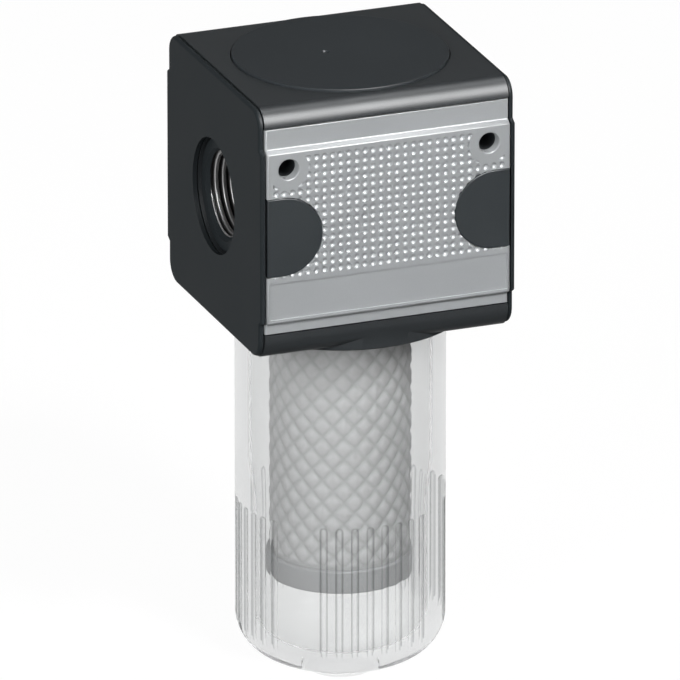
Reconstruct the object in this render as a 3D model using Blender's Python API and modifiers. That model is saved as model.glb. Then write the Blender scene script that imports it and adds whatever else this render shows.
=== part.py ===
"""Inline activated carbon filter for compressed air, drawn in metres with +Z up.

A square head block sits between two end plates and carries a pipe port at each end. Clipped
panels cover its front and back. A clear bowl screws into the underside and surrounds the carbon
element, which is pushed onto a spigot in the head. Air enters at -X, goes down inside the
element, out through the carbon, and up around the element to the port at +X.
"""

import math

import bmesh
import bpy
from mathutils import Matrix, Vector

# Clearance between neighbouring pieces
GAP = 0.0003

# Head, with its margins beside the bowl, up to its end plates and raised panel zones
HEAD_SIDE_MARGIN = 0.00645
HEAD_FRONT_MARGIN = 0.00645
HEAD_HEIGHT = 0.0588
TOP_EDGE_RADIUS = 0.0044
BOTTOM_EDGE_RADIUS = 0.0050
COLLAR_WALL = 0.0049
COLLAR_DROP = 0.0005
COLLAR_LENGTH = 0.0050

# End plates
END_PLATE_THICKNESS = 0.0010
END_PLATE_SHRINK = 0.0003
END_PLATE_EDGE_RADIUS = 0.0007
PORT_RECESS_MARGIN = 0.0017
PORT_RECESS_DEPTH = 0.0020

# Front and rear panels, which start where the block's top rounding ends
PANEL_THICKNESS = 0.0012
PANEL_BOTTOM_MARGIN = 0.0015
UPPER_BAND_HEIGHT = 0.0046
LOWER_BAND_HEIGHT = 0.0022
LEDGE_HEIGHT = 0.0008
RAISED_ZONE_STEP = 0.0013
LABEL_HEIGHT = 0.0092
LABEL_DEPTH = 0.0002
LABEL_MARGIN = 0.0007

# Dimples of the front panel
DIMPLE_PITCH = 0.0019
DIMPLE_WIDTH = 0.0015
DIMPLE_DEPTH = 0.0004
DIMPLE_TOP_MARGIN = 0.0002
DIMPLE_SIDE_MARGIN = 0.0007

# Fixing holes through head and panels, above the port bores
FIXING_HOLE_RADIUS = 0.00235
FIXING_HOLE_INSET = 0.0064
FIXING_HOLE_WALL = 0.0016
FIXING_PAD_RADIUS = 0.0048

# Clamp covers, half-round pads let into the panels
CLAMP_COVER_HEIGHT = 0.0182
CLAMP_COVER_STRAIGHT = 0.0039

# Locating studs on the backs of covers and panels
STUD_RADIUS = 0.0015
STUD_LENGTH = 0.0025
STUD_ROOT = 0.0006
PANEL_STUD_OFFSET = 0.0150
PANEL_STUD_MARGIN = 0.0015
END_PLATE_STUD_Y = 0.0210
END_PLATE_STUD_Z = 0.0110

# Ports, on one axis at half the head's height
THREAD_MAJOR_RADIUS = 0.01048
THREAD_DEPTH = 0.00116
BUSH_WALL = 0.0010
PORT_SEAL_CORD = 0.0016
PORT_SEAT_WALL = 0.0015
PORT_PASSAGE_RADIUS = 0.0080

# Slot that leads from the space around the element up to the outlet port
OUTLET_WALL = 0.0018
OUTLET_SLOT_WIDTH = 0.0030

# Closing cap on top, which fills the flat of the block's top
TOP_CAP_MARGIN = 0.00015
TOP_CAP_RISE = 0.0006
TOP_CAP_THICKNESS = 0.0024
TOP_CAP_EDGE = 0.0003
TOP_PLUG_RADIUS = 0.0117
TOP_PLUG_LENGTH = 0.0070
TOP_SEAL_CORD = 0.0016
GATE_MARK_RADIUS = 0.0010
GATE_MARK_DEPTH = 0.0003
GATE_MARK_PLACE = (-0.0031, 0.0012)

# Bowl, as wide as its wall and the space round the element need
BOWL_DROP = 0.0859
BOWL_CORNER_RADIUS = 0.0101
BOWL_DOME_RADIUS = 0.0384
BOWL_WALL = 0.0036
BOWL_LOWER_WALL = 0.0047
WALL_TAPER_LENGTH = 0.0085
FOOT_RADIUS = 0.00835
FOOT_DROP = 0.0006
FOOT_EDGE = 0.0006
NECK_STEP = 0.00035
NECK_LENGTH = 0.0135
NECK_CLEARANCE = 0.0004
BOWL_SEAL_CORD = 0.0018
BOWL_SEAL_DROP = 0.0014

# Grip flutes of the bowl, in its thicker lower wall
FLUTE_GROUPS = 4
FLUTES_PER_GROUP = 8
FLUTE_PITCH = math.radians(8.6)
FLUTE_RADIUS = 0.00095
FLUTE_DEPTH = 0.00085
FLUTE_TOP = 0.0412

# Carbon element, with its clearances in the bowl and under the socket's roof
ELEMENT_LIFT = 0.0228
ELEMENT_HEADROOM = 0.0025
ELEMENT_ANNULUS = 0.0022
ELEMENT_CAP_EDGE = 0.0006
BOTTOM_CAP_HEIGHT = 0.0055
BOTTOM_CAP_FLOOR = 0.0020
TOP_END_CAP_SKIRT = 0.0030
TOP_END_CAP_FLOOR = 0.0013
SLEEVE_INSET = 0.0007
SLEEVE_WALL = 0.0007
CARBON_THICKNESS = 0.00575
QUILT_DEPTH = 0.0006
QUILT_CELLS_AROUND = 20
QUILT_CELL_HEIGHT = 0.0050
CORE_RADIUS = 0.0072
CORE_WALL = 0.0014
INNER_FLEECE_WALL = 0.0008
CORE_SLOT_WIDTH = 0.0020
CORE_SLOT_LENGTH = 0.0150
CORE_SLOT_COUNT = 4
CORE_SLOT_TIERS = 3

# Spigot that carries the element
SPIGOT_RADIUS = 0.0086
SPIGOT_WALL = 0.0031
SPIGOT_LENGTH = 0.0085
SPIGOT_CLEARANCE = 0.0006
ELEMENT_SEAL_CORD = 0.0014

# Facets around round shapes, coarser on small hidden ones
ROUND_STEPS = 36
MEDIUM_STEPS = 24
SMALL_STEPS = 16
STUD_STEPS = 6
SEAL_SIDES = 6
FLUTE_SIDES = 6
FILLET_STEPS = 4

# Radii that follow from the element's core outwards, up to the head's width and depth
CORE_BORE_RADIUS = CORE_RADIUS - CORE_WALL
FLEECE_BORE_RADIUS = CORE_RADIUS + GAP
FLEECE_RADIUS = FLEECE_BORE_RADIUS + INNER_FLEECE_WALL
CARBON_BORE_RADIUS = FLEECE_RADIUS + GAP
CARBON_RADIUS = CARBON_BORE_RADIUS + CARBON_THICKNESS
SLEEVE_BORE_RADIUS = CARBON_RADIUS + GAP
SLEEVE_SEAM_RADIUS = SLEEVE_BORE_RADIUS + SLEEVE_WALL
SLEEVE_RADIUS = SLEEVE_SEAM_RADIUS + QUILT_DEPTH
ELEMENT_CAP_RADIUS = SLEEVE_RADIUS + SLEEVE_INSET
BOWL_RADIUS = ELEMENT_CAP_RADIUS + ELEMENT_ANNULUS + BOWL_LOWER_WALL
NECK_RADIUS = BOWL_RADIUS - NECK_STEP
SOCKET_RADIUS = NECK_RADIUS + NECK_CLEARANCE
COLLAR_RADIUS = SOCKET_RADIUS + COLLAR_WALL
HALF_WIDTH = BOWL_RADIUS + HEAD_SIDE_MARGIN
HALF_DEPTH = BOWL_RADIUS + HEAD_FRONT_MARGIN

# Heights that follow from the sizes above
BOWL_POLE = FOOT_DROP
HEAD_BOTTOM = BOWL_POLE + BOWL_DROP
HEAD_TOP = HEAD_BOTTOM + HEAD_HEIGHT
COLLAR_BOTTOM = HEAD_BOTTOM - COLLAR_DROP
PORT_AXIS = (HEAD_TOP + HEAD_BOTTOM) / 2
PANEL_TOP = HEAD_TOP - TOP_EDGE_RADIUS
PANEL_BOTTOM = HEAD_BOTTOM + BOTTOM_EDGE_RADIUS + PANEL_BOTTOM_MARGIN
RAISED_TOP = PANEL_TOP - UPPER_BAND_HEIGHT - LEDGE_HEIGHT
RAISED_BOTTOM = PANEL_BOTTOM + LOWER_BAND_HEIGHT + LEDGE_HEIGHT
LABEL_TOP = RAISED_BOTTOM + LABEL_HEIGHT
DIMPLES_TOP = RAISED_TOP - DIMPLE_TOP_MARGIN
NECK_BOTTOM = COLLAR_BOTTOM - GAP
NECK_TOP = NECK_BOTTOM + NECK_LENGTH
SOCKET_ROOF = NECK_TOP + GAP
SPIGOT_END = SOCKET_ROOF - SPIGOT_LENGTH
ELEMENT_BOTTOM = BOWL_POLE + ELEMENT_LIFT
ELEMENT_TOP = SOCKET_ROOF - ELEMENT_HEADROOM
MEDIA_BOTTOM = ELEMENT_BOTTOM + BOTTOM_CAP_FLOOR + GAP
END_CAP_FLOOR_TOP = SPIGOT_END - GAP
END_CAP_UNDERSIDE = END_CAP_FLOOR_TOP - TOP_END_CAP_FLOOR
MEDIA_TOP = END_CAP_UNDERSIDE - GAP

# Distances in the head that follow from the sizes above
BLOCK_HALF_WIDTH = HALF_WIDTH - END_PLATE_THICKNESS - GAP
BAND_HALF_DEPTH = HALF_DEPTH - RAISED_ZONE_STEP
PANEL_BACK = BAND_HALF_DEPTH - PANEL_THICKNESS
POCKET_FLOOR = PANEL_BACK - GAP
BUSH_RADIUS = THREAD_MAJOR_RADIUS + BUSH_WALL
BUSH_FACE = HALF_WIDTH - PORT_RECESS_DEPTH
PORT_RECESS_RADIUS = BUSH_RADIUS + PORT_RECESS_MARGIN
PORT_BORE_RADIUS = BUSH_RADIUS + GAP
OUTLET_POCKET_END = PORT_PASSAGE_RADIUS + OUTLET_WALL
PORT_BORE_END = OUTLET_POCKET_END + OUTLET_SLOT_WIDTH + PORT_SEAT_WALL
BUSH_BACK = PORT_BORE_END + PORT_SEAL_CORD + 2 * GAP
FIXING_HOLE_X = HALF_WIDTH - FIXING_HOLE_INSET
FIXING_HOLE_Z = PORT_AXIS + PORT_BORE_RADIUS + FIXING_HOLE_WALL + FIXING_HOLE_RADIUS
TOP_CAP_RADIUS = min(BAND_HALF_DEPTH - TOP_EDGE_RADIUS, BLOCK_HALF_WIDTH) - TOP_CAP_MARGIN
CAP_RECESS_DEPTH = TOP_CAP_THICKNESS - TOP_CAP_RISE + GAP

# How far a cutter runs past the surface that it opens
OVERCUT = 0.0020


# Scene set-up
for old in list(bpy.data.objects):
    bpy.data.objects.remove(old, do_unlink=True)

parts = bpy.data.collections.new("activated_carbon_filter")
cutters = bpy.data.collections.new("cutters")
bpy.context.scene.collection.children.link(parts)
bpy.context.scene.collection.children.link(cutters)


def material(name, colour, roughness, metallic=0.0, transmission=0.0):
    """A plain Principled material."""
    mat = bpy.data.materials.new(name)
    mat.use_nodes = True
    shader = mat.node_tree.nodes["Principled BSDF"]
    shader.inputs["Base Color"].default_value = (*colour, 1.0)
    shader.inputs["Roughness"].default_value = roughness
    shader.inputs["Metallic"].default_value = metallic
    shader.inputs["Transmission Weight"].default_value = transmission
    mat.diffuse_color = (*colour, 1.0)
    return mat


def add_object(name, mesh, mat=None):
    """Links a mesh as a part, or as a hidden cutter where it has no material."""
    obj = bpy.data.objects.new(name, mesh)
    if mat is None:
        cutters.objects.link(obj)
        obj.hide_render = True
        obj.display_type = "WIRE"
    else:
        parts.objects.link(obj)
        mesh.materials.append(mat)
    return obj


def from_bmesh(name, bm, mat=None):
    """Turns a finished bmesh into an object."""
    bmesh.ops.recalc_face_normals(bm, faces=bm.faces)
    mesh = bpy.data.meshes.new(name)
    bm.to_mesh(mesh)
    bm.free()
    return add_object(name, mesh, mat)


def turned(name, profile, mat=None, steps=ROUND_STEPS):
    """Turns a profile of (radius, height) points about Z, given down its outer side.

    A profile that starts and ends on the axis is open, and any other one is a closed ring.
    """
    points = [Vector((radius, 0.0, height)) for radius, height in profile]
    edges = [(i, i + 1) for i in range(len(points) - 1)]
    if profile[0][0] > 0.0:
        edges.append((len(points) - 1, 0))
    mesh = bpy.data.meshes.new(name)
    mesh.from_pydata(points, edges, [])
    obj = add_object(name, mesh, mat)
    screw = obj.modifiers.new("turn", "SCREW")
    screw.axis = "Z"
    screw.angle = math.tau
    screw.steps = steps
    screw.render_steps = steps
    screw.use_merge_vertices = True
    screw.merge_threshold = 0.00001
    return obj


def extruded(name, outline, axis, low, high, mat=None):
    """Extrudes a flat outline along an axis, X for (y, z) points and Y for (x, z) points."""
    bm = bmesh.new()
    if axis == "X":
        corners = [bm.verts.new((low, y, z)) for y, z in outline]
        travel = Vector((high - low, 0.0, 0.0))
    else:
        corners = [bm.verts.new((x, low, z)) for x, z in outline]
        travel = Vector((0.0, high - low, 0.0))
    face = bm.faces.new(corners)
    grown = bmesh.ops.extrude_face_region(bm, geom=[face])
    moved = [item for item in grown["geom"] if isinstance(item, bmesh.types.BMVert)]
    bmesh.ops.translate(bm, verts=moved, vec=travel)
    return from_bmesh(name, bm, mat)


def add_rod(bm, radius, start, end, steps, tip_radius=None):
    """Adds a round rod or cone between two points to a bmesh."""
    start = Vector(start)
    end = Vector(end)
    axis = end - start
    turn = axis.to_track_quat("Z", "Y").to_matrix().to_4x4()
    place = Matrix.Translation((start + end) / 2) @ turn
    bmesh.ops.create_cone(
        bm,
        cap_ends=True,
        segments=steps,
        radius1=radius,
        radius2=radius if tip_radius is None else tip_radius,
        depth=axis.length,
        matrix=place,
    )


def rods(name, radius, spans, steps=SMALL_STEPS):
    """One cutter of several separate rods, each given by its two end points."""
    bm = bmesh.new()
    for start, end in spans:
        add_rod(bm, radius, start, end, steps)
    return from_bmesh(name, bm)


def arc(centre, radius, start, end, steps):
    """Points of an arc, as pairs, from one angle to another in radians."""
    return [
        (
            centre[0] + radius * math.cos(start + (end - start) * i / steps),
            centre[1] + radius * math.sin(start + (end - start) * i / steps),
        )
        for i in range(steps + 1)
    ]


def boolean(obj, other, operation="DIFFERENCE"):
    """Cuts or joins another object into this one."""
    mod = obj.modifiers.new(other.name, "BOOLEAN")
    mod.operation = operation
    mod.solver = "EXACT"
    mod.object = other


def lay_along_x(obj, x, z, mirrored=False):
    """Lays a turned piece along X, with its top facing -X, or +X where mirrored."""
    obj.rotation_euler = (0.0, math.radians(90 if mirrored else -90), 0.0)
    obj.location = (x, 0.0, z)


def finish(obj):
    """Keeps the evaluated mesh in place of the modifiers and shades its round faces smooth."""
    bpy.context.view_layer.update()
    evaluated = obj.evaluated_get(bpy.context.evaluated_depsgraph_get())
    mesh = bpy.data.meshes.new_from_object(evaluated)
    mesh.name = obj.name
    obj.modifiers.clear()
    obj.data = mesh
    mesh.shade_smooth()
    mesh.set_sharp_from_angle(angle=math.radians(30))


# Materials
coated_metal = material("coated_metal", (0.045, 0.050, 0.055), 0.38)
cover_plastic = material("cover_plastic", (0.040, 0.044, 0.048), 0.45)
silver_plastic = material("silver_plastic", (0.45, 0.47, 0.48), 0.40, 0.3)
machined_metal = material("machined_metal", (0.62, 0.62, 0.60), 0.28, 1.0)
rubber = material("rubber", (0.02, 0.02, 0.02), 0.70)
clear_plastic = material("clear_plastic", (0.93, 0.95, 0.96), 0.05, 0.0, 0.9)
cap_plastic = material("cap_plastic", (0.30, 0.31, 0.32), 0.50)
fleece = material("fleece", (0.62, 0.63, 0.63), 0.90)
carbon = material("carbon", (0.015, 0.015, 0.015), 0.95)
core_plastic = material("core_plastic", (0.75, 0.75, 0.73), 0.50)


def head_outline(shrink, raised):
    """The head's outline in Y and Z, as (y, z) points, with or without its raised zones."""
    half = BAND_HALF_DEPTH - shrink
    top = HEAD_TOP - shrink
    bottom = HEAD_BOTTOM + shrink
    upper = TOP_EDGE_RADIUS - shrink
    lower = BOTTOM_EDGE_RADIUS - shrink
    front = arc((-half + upper, top - upper), upper, math.pi / 2, math.pi, FILLET_STEPS)
    if raised:
        front += [
            (-half, RAISED_TOP + LEDGE_HEIGHT),
            (-HALF_DEPTH + shrink, RAISED_TOP),
            (-HALF_DEPTH + shrink, RAISED_BOTTOM),
            (-half, RAISED_BOTTOM - LEDGE_HEIGHT),
        ]
    front += arc((-half + lower, bottom + lower), lower, math.pi, math.pi * 1.5, FILLET_STEPS)
    return front + [(-y, z) for y, z in reversed(front)]


def port_bore(name, side):
    """The stepped bore of one port, as a cutter: recess, bush seat and passage."""
    inner = 0.0 if side < 0 else OUTLET_POCKET_END
    depths = HALF_WIDTH
    profile = [
        (0.0, OVERCUT),
        (PORT_RECESS_RADIUS, OVERCUT),
        (PORT_RECESS_RADIUS, BUSH_FACE - depths),
        (PORT_BORE_RADIUS, BUSH_FACE - depths),
        (PORT_BORE_RADIUS, PORT_BORE_END - depths),
        (PORT_PASSAGE_RADIUS, PORT_BORE_END - depths),
        (PORT_PASSAGE_RADIUS, inner - depths),
        (0.0, inner - depths),
    ]
    cutter = turned(name, profile, steps=MEDIUM_STEPS)
    lay_along_x(cutter, side * depths, PORT_AXIS, mirrored=side > 0)
    return cutter


def panel_stud_places(side):
    """Centres of a panel's four studs, in its back plane."""
    inset = PANEL_STUD_MARGIN + STUD_RADIUS
    return [
        Vector((x, side * PANEL_BACK, z))
        for x in (-PANEL_STUD_OFFSET, PANEL_STUD_OFFSET)
        for z in (PANEL_TOP - inset, PANEL_BOTTOM + inset)
    ]


def clamp_stud_place(side_x, side_y):
    """Centre of a clamp cover's stud, in its back plane."""
    x = BLOCK_HALF_WIDTH - CLAMP_COVER_STRAIGHT
    return Vector((side_x * x, side_y * PANEL_BACK, PORT_AXIS))


def end_plate_stud_places(side):
    """Centres of an end plate's two studs, in its inner face."""
    x = side * (HALF_WIDTH - END_PLATE_THICKNESS)
    return [
        Vector((x, -END_PLATE_STUD_Y, PORT_AXIS - END_PLATE_STUD_Z)),
        Vector((x, END_PLATE_STUD_Y, PORT_AXIS + END_PLATE_STUD_Z)),
    ]


def studs(name, places, direction):
    """Studs that stand on a back face, sunk into it a little so that they join it."""
    bm = bmesh.new()
    for place in places:
        root = place - direction * STUD_ROOT
        add_rod(bm, STUD_RADIUS, root, place + direction * STUD_LENGTH, STUD_STEPS)
    return from_bmesh(name, bm)


def stud_holes(name, places, direction):
    """Holes for studs, with clearance around and under them."""
    spans = [
        (place - direction * OVERCUT, place + direction * (STUD_LENGTH + GAP))
        for place in places
    ]
    return rods(name, STUD_RADIUS + GAP, spans, STUD_STEPS)


def fixing_holes(name):
    """The two through holes for long fixing screws."""
    spans = [
        (
            (x, -HALF_DEPTH - OVERCUT, FIXING_HOLE_Z),
            (x, HALF_DEPTH + OVERCUT, FIXING_HOLE_Z),
        )
        for x in (-FIXING_HOLE_X, FIXING_HOLE_X)
    ]
    return rods(name, FIXING_HOLE_RADIUS, spans)


def clamp_outline(side, margin, overcut=0.0):
    """Half-round outline of a clamp cover in X and Z, grown by a margin."""
    radius = CLAMP_COVER_HEIGHT / 2
    centre = BLOCK_HALF_WIDTH - CLAMP_COVER_STRAIGHT
    outer = BLOCK_HALF_WIDTH + overcut
    bow = arc((centre, PORT_AXIS), radius + margin, math.pi / 2, math.pi * 1.5, MEDIUM_STEPS // 2)
    points = [(outer, PORT_AXIS + radius + margin)] + bow + [(outer, PORT_AXIS - radius - margin)]
    return [(side * x, z) for x, z in points]


def build_head_body():
    """Die-cast block: bowl socket, element spigot, passages and seats for the covers."""
    outline = head_outline(0.0, False)
    body = extruded("head_body", outline, "X", -BLOCK_HALF_WIDTH, BLOCK_HALF_WIDTH, coated_metal)

    collar_top = HEAD_BOTTOM + COLLAR_LENGTH
    collar = turned(
        "collar",
        [
            (0.0, collar_top),
            (COLLAR_RADIUS, collar_top),
            (COLLAR_RADIUS, COLLAR_BOTTOM),
            (0.0, COLLAR_BOTTOM),
        ],
    )
    boolean(body, collar, "UNION")

    for side, word in ((-1, "front"), (1, "rear")):
        outline = [
            (side * POCKET_FLOOR, PANEL_TOP + GAP),
            (side * (HALF_DEPTH + OVERCUT), PANEL_TOP + GAP),
            (side * (HALF_DEPTH + OVERCUT), PANEL_BOTTOM - GAP),
            (side * POCKET_FLOOR, PANEL_BOTTOM - GAP),
        ]
        reach = HALF_WIDTH + OVERCUT
        boolean(body, extruded(f"{word}_panel_pocket", outline, "X", -reach, reach))

    # The socket is cut round the spigot, which is left standing with its seal groove
    mouth = SOCKET_RADIUS + NECK_CLEARANCE
    seal_top = SOCKET_ROOF - SPIGOT_LENGTH / 2 + ELEMENT_SEAL_CORD / 2 + GAP
    seal_low = seal_top - ELEMENT_SEAL_CORD - 2 * GAP
    groove = SPIGOT_RADIUS + SPIGOT_CLEARANCE - 2 * GAP - ELEMENT_SEAL_CORD
    socket = turned(
        "bowl_socket",
        [
            (0.0, SPIGOT_END),
            (SPIGOT_RADIUS, SPIGOT_END),
            (SPIGOT_RADIUS, seal_low),
            (groove, seal_low),
            (groove, seal_top),
            (SPIGOT_RADIUS, seal_top),
            (SPIGOT_RADIUS, SOCKET_ROOF),
            (SOCKET_RADIUS, SOCKET_ROOF),
            (SOCKET_RADIUS, COLLAR_BOTTOM + NECK_CLEARANCE * 2),
            (mouth, COLLAR_BOTTOM),
            (mouth, COLLAR_BOTTOM - OVERCUT),
            (0.0, COLLAR_BOTTOM - OVERCUT),
        ],
        steps=MEDIUM_STEPS,
    )
    boolean(body, socket)

    recess_low = HEAD_TOP - CAP_RECESS_DEPTH
    spans = [((0.0, 0.0, recess_low), (0.0, 0.0, HEAD_TOP + OVERCUT))]
    boolean(body, rods("cap_recess", TOP_CAP_RADIUS + GAP, spans, ROUND_STEPS))

    plug_bore_end = recess_low - TOP_PLUG_LENGTH - GAP
    chamber = turned(
        "inlet_chamber",
        [
            (0.0, HEAD_TOP + OVERCUT),
            (TOP_PLUG_RADIUS + GAP, HEAD_TOP + OVERCUT),
            (TOP_PLUG_RADIUS + GAP, plug_bore_end),
            (PORT_PASSAGE_RADIUS, plug_bore_end),
            (PORT_PASSAGE_RADIUS, PORT_AXIS - PORT_PASSAGE_RADIUS / 2),
            (SPIGOT_RADIUS - SPIGOT_WALL, PORT_AXIS - PORT_PASSAGE_RADIUS),
            (SPIGOT_RADIUS - SPIGOT_WALL, SPIGOT_END - OVERCUT),
            (0.0, SPIGOT_END - OVERCUT),
        ],
        steps=SMALL_STEPS,
    )
    boolean(body, chamber)
    boolean(body, port_bore("inlet_bore", -1))
    boolean(body, port_bore("outlet_bore", 1))

    slot_edge = PORT_PASSAGE_RADIUS - GAP
    slot_outline = [
        (-slot_edge, PORT_AXIS),
        (slot_edge, PORT_AXIS),
        (slot_edge, SOCKET_ROOF - OVERCUT),
        (-slot_edge, SOCKET_ROOF - OVERCUT),
    ]
    slot_end = OUTLET_POCKET_END + OUTLET_SLOT_WIDTH
    boolean(body, extruded("outlet_slot", slot_outline, "X", OUTLET_POCKET_END, slot_end))
    boolean(body, fixing_holes("head_fixing_holes"))

    for side, word in ((-1, "front"), (1, "rear")):
        inward = Vector((0.0, -side, 0.0))
        places = panel_stud_places(side)
        places += [clamp_stud_place(-1, side), clamp_stud_place(1, side)]
        boolean(body, stud_holes(f"{word}_stud_holes", places, inward))
    for side, word in ((-1, "inlet"), (1, "outlet")):
        inward = Vector((-side, 0.0, 0.0))
        boolean(body, stud_holes(f"{word}_stud_holes", end_plate_stud_places(side), inward))
    return body


def build_end_plate(name, side):
    """Thin plate over one end of the block, with the panels' stepped outline and the port hole."""
    outer = side * HALF_WIDTH
    inner = side * (HALF_WIDTH - END_PLATE_THICKNESS)
    low, high = sorted((outer, inner))
    plate = extruded(name, head_outline(END_PLATE_SHRINK, True), "X", low, high, cover_plastic)
    bm = bmesh.new()
    bm.from_mesh(plate.data)
    rim = [e for e in bm.edges if all(abs(v.co.x - outer) < GAP for v in e.verts)]
    bmesh.ops.bevel(
        bm,
        geom=rim,
        offset=END_PLATE_EDGE_RADIUS,
        offset_type="OFFSET",
        segments=2,
        profile=0.5,
        affect="EDGES",
        material=-1,
    )
    bm.to_mesh(plate.data)
    bm.free()

    reach = Vector((END_PLATE_THICKNESS + OVERCUT, 0.0, 0.0))
    centre = Vector((outer, 0.0, PORT_AXIS))
    spans = [(centre - reach, centre + reach)]
    boolean(plate, rods(f"{name}_port_hole", PORT_RECESS_RADIUS, spans, ROUND_STEPS))
    inward = Vector((-side, 0.0, 0.0))
    boolean(plate, studs(f"{name}_studs", end_plate_stud_places(side), inward), "UNION")
    return plate


def dimple_places():
    """Centres of the dimples, left out round the fixing holes and under the clamp covers."""
    places = []
    cover_radius = CLAMP_COVER_HEIGHT / 2
    cover_centre = BLOCK_HALF_WIDTH - CLAMP_COVER_STRAIGHT
    rows = int((DIMPLES_TOP - LABEL_TOP) / DIMPLE_PITCH)
    reach = BLOCK_HALF_WIDTH - DIMPLE_SIDE_MARGIN - DIMPLE_WIDTH / 2
    beside_middle = int(reach / DIMPLE_PITCH)
    for row in range(rows):
        z = DIMPLES_TOP - (row + 0.5) * DIMPLE_PITCH
        for column in range(-beside_middle, beside_middle + 1):
            x = column * DIMPLE_PITCH
            hole_distance = math.hypot(abs(x) - FIXING_HOLE_X, z - FIXING_HOLE_Z)
            beside = max(cover_centre - abs(x), 0.0)
            cover_distance = math.hypot(beside, z - PORT_AXIS) - cover_radius - GAP
            if hole_distance > FIXING_PAD_RADIUS and cover_distance > DIMPLE_WIDTH / 2:
                places.append((x, z))
    return places


def dimple_cutter(side):
    """All dimples as one cutter of shallow cones standing on the raised zone."""
    face = side * HALF_DEPTH
    bm = bmesh.new()
    # A cone that starts above the face is wider there, so that it has its width at the face
    above = GAP
    width = DIMPLE_WIDTH / 2 * (DIMPLE_DEPTH + above) / DIMPLE_DEPTH
    for x, z in dimple_places():
        start = (x, face + side * above, z)
        tip = (x, face - side * DIMPLE_DEPTH, z)
        add_rod(bm, width, start, tip, 4, tip_radius=0.0)
    return from_bmesh("dimples", bm)


def build_panel(name, side, dimpled):
    """Clipped panel: bands, sloped ledges, raised zone, label recess, notches and holes."""
    back = side * PANEL_BACK
    band = side * BAND_HALF_DEPTH
    raised = side * HALF_DEPTH
    outline = [
        (back, PANEL_TOP),
        (band, PANEL_TOP),
        (band, RAISED_TOP + LEDGE_HEIGHT),
        (raised, RAISED_TOP),
        (raised, RAISED_BOTTOM),
        (band, RAISED_BOTTOM - LEDGE_HEIGHT),
        (band, PANEL_BOTTOM),
        (back, PANEL_BOTTOM),
    ]
    panel = extruded(name, outline, "X", -BLOCK_HALF_WIDTH, BLOCK_HALF_WIDTH, silver_plastic)
    if dimpled:
        boolean(panel, dimple_cutter(side))
        label_bottom = RAISED_BOTTOM + LABEL_MARGIN
        label_edge = BLOCK_HALF_WIDTH - LABEL_MARGIN
        corners = [
            (-label_edge, LABEL_TOP),
            (label_edge, LABEL_TOP),
            (label_edge, label_bottom),
            (-label_edge, label_bottom),
        ]
        low, high = sorted((raised + side * OVERCUT, raised - side * LABEL_DEPTH))
        boolean(panel, extruded("label_recess", corners, "Y", low, high))
    depth = HALF_DEPTH + OVERCUT
    low, high = sorted((side * depth, side * POCKET_FLOOR))
    for side_x, word in ((-1, "inlet"), (1, "outlet")):
        notch = extruded(f"{name}_{word}_notch", clamp_outline(side_x, GAP, OVERCUT), "Y", low, high)
        boolean(panel, notch)
    boolean(panel, fixing_holes(f"{name}_holes"))
    inward = Vector((0.0, -side, 0.0))
    boolean(panel, studs(f"{name}_studs", panel_stud_places(side), inward), "UNION")
    return panel


def build_clamp_cover(name, side_x, side_y):
    """Half-round cover over a clamp seat, flush with the panel's raised zone."""
    low, high = sorted((side_y * HALF_DEPTH, side_y * PANEL_BACK))
    cover = extruded(name, clamp_outline(side_x, 0.0), "Y", low, high, cover_plastic)
    inward = Vector((0.0, -side_y, 0.0))
    boolean(cover, studs(f"{name}_stud", [clamp_stud_place(side_x, side_y)], inward), "UNION")
    return cover


def build_thread_bush(name, side):
    """Machined port bush, its thread drawn as a plain bore with a lead-in chamfer."""
    profile = [
        (THREAD_MAJOR_RADIUS, 0.0),
        (BUSH_RADIUS, 0.0),
        (BUSH_RADIUS, BUSH_BACK - BUSH_FACE),
        (THREAD_MAJOR_RADIUS - THREAD_DEPTH, BUSH_BACK - BUSH_FACE),
        (THREAD_MAJOR_RADIUS - THREAD_DEPTH, -THREAD_DEPTH),
    ]
    bush = turned(name, profile, machined_metal, MEDIUM_STEPS)
    lay_along_x(bush, side * BUSH_FACE, PORT_AXIS, mirrored=side > 0)
    return bush


def seal_profile(inner_radius, cord, height):
    """Round section of an O-ring, by its inner radius and its middle height."""
    centre = (inner_radius + cord / 2, height)
    return arc(centre, cord / 2, math.tau, 0.0, SEAL_SIDES)[:-1]


def build_port_seal(name, side):
    """O-ring behind a port bush."""
    section = seal_profile(PORT_PASSAGE_RADIUS + GAP, PORT_SEAL_CORD, 0.0)
    seal = turned(name, section, rubber, SMALL_STEPS)
    lay_along_x(seal, side * (BUSH_BACK - GAP - PORT_SEAL_CORD / 2), PORT_AXIS, mirrored=side > 0)
    return seal


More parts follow.
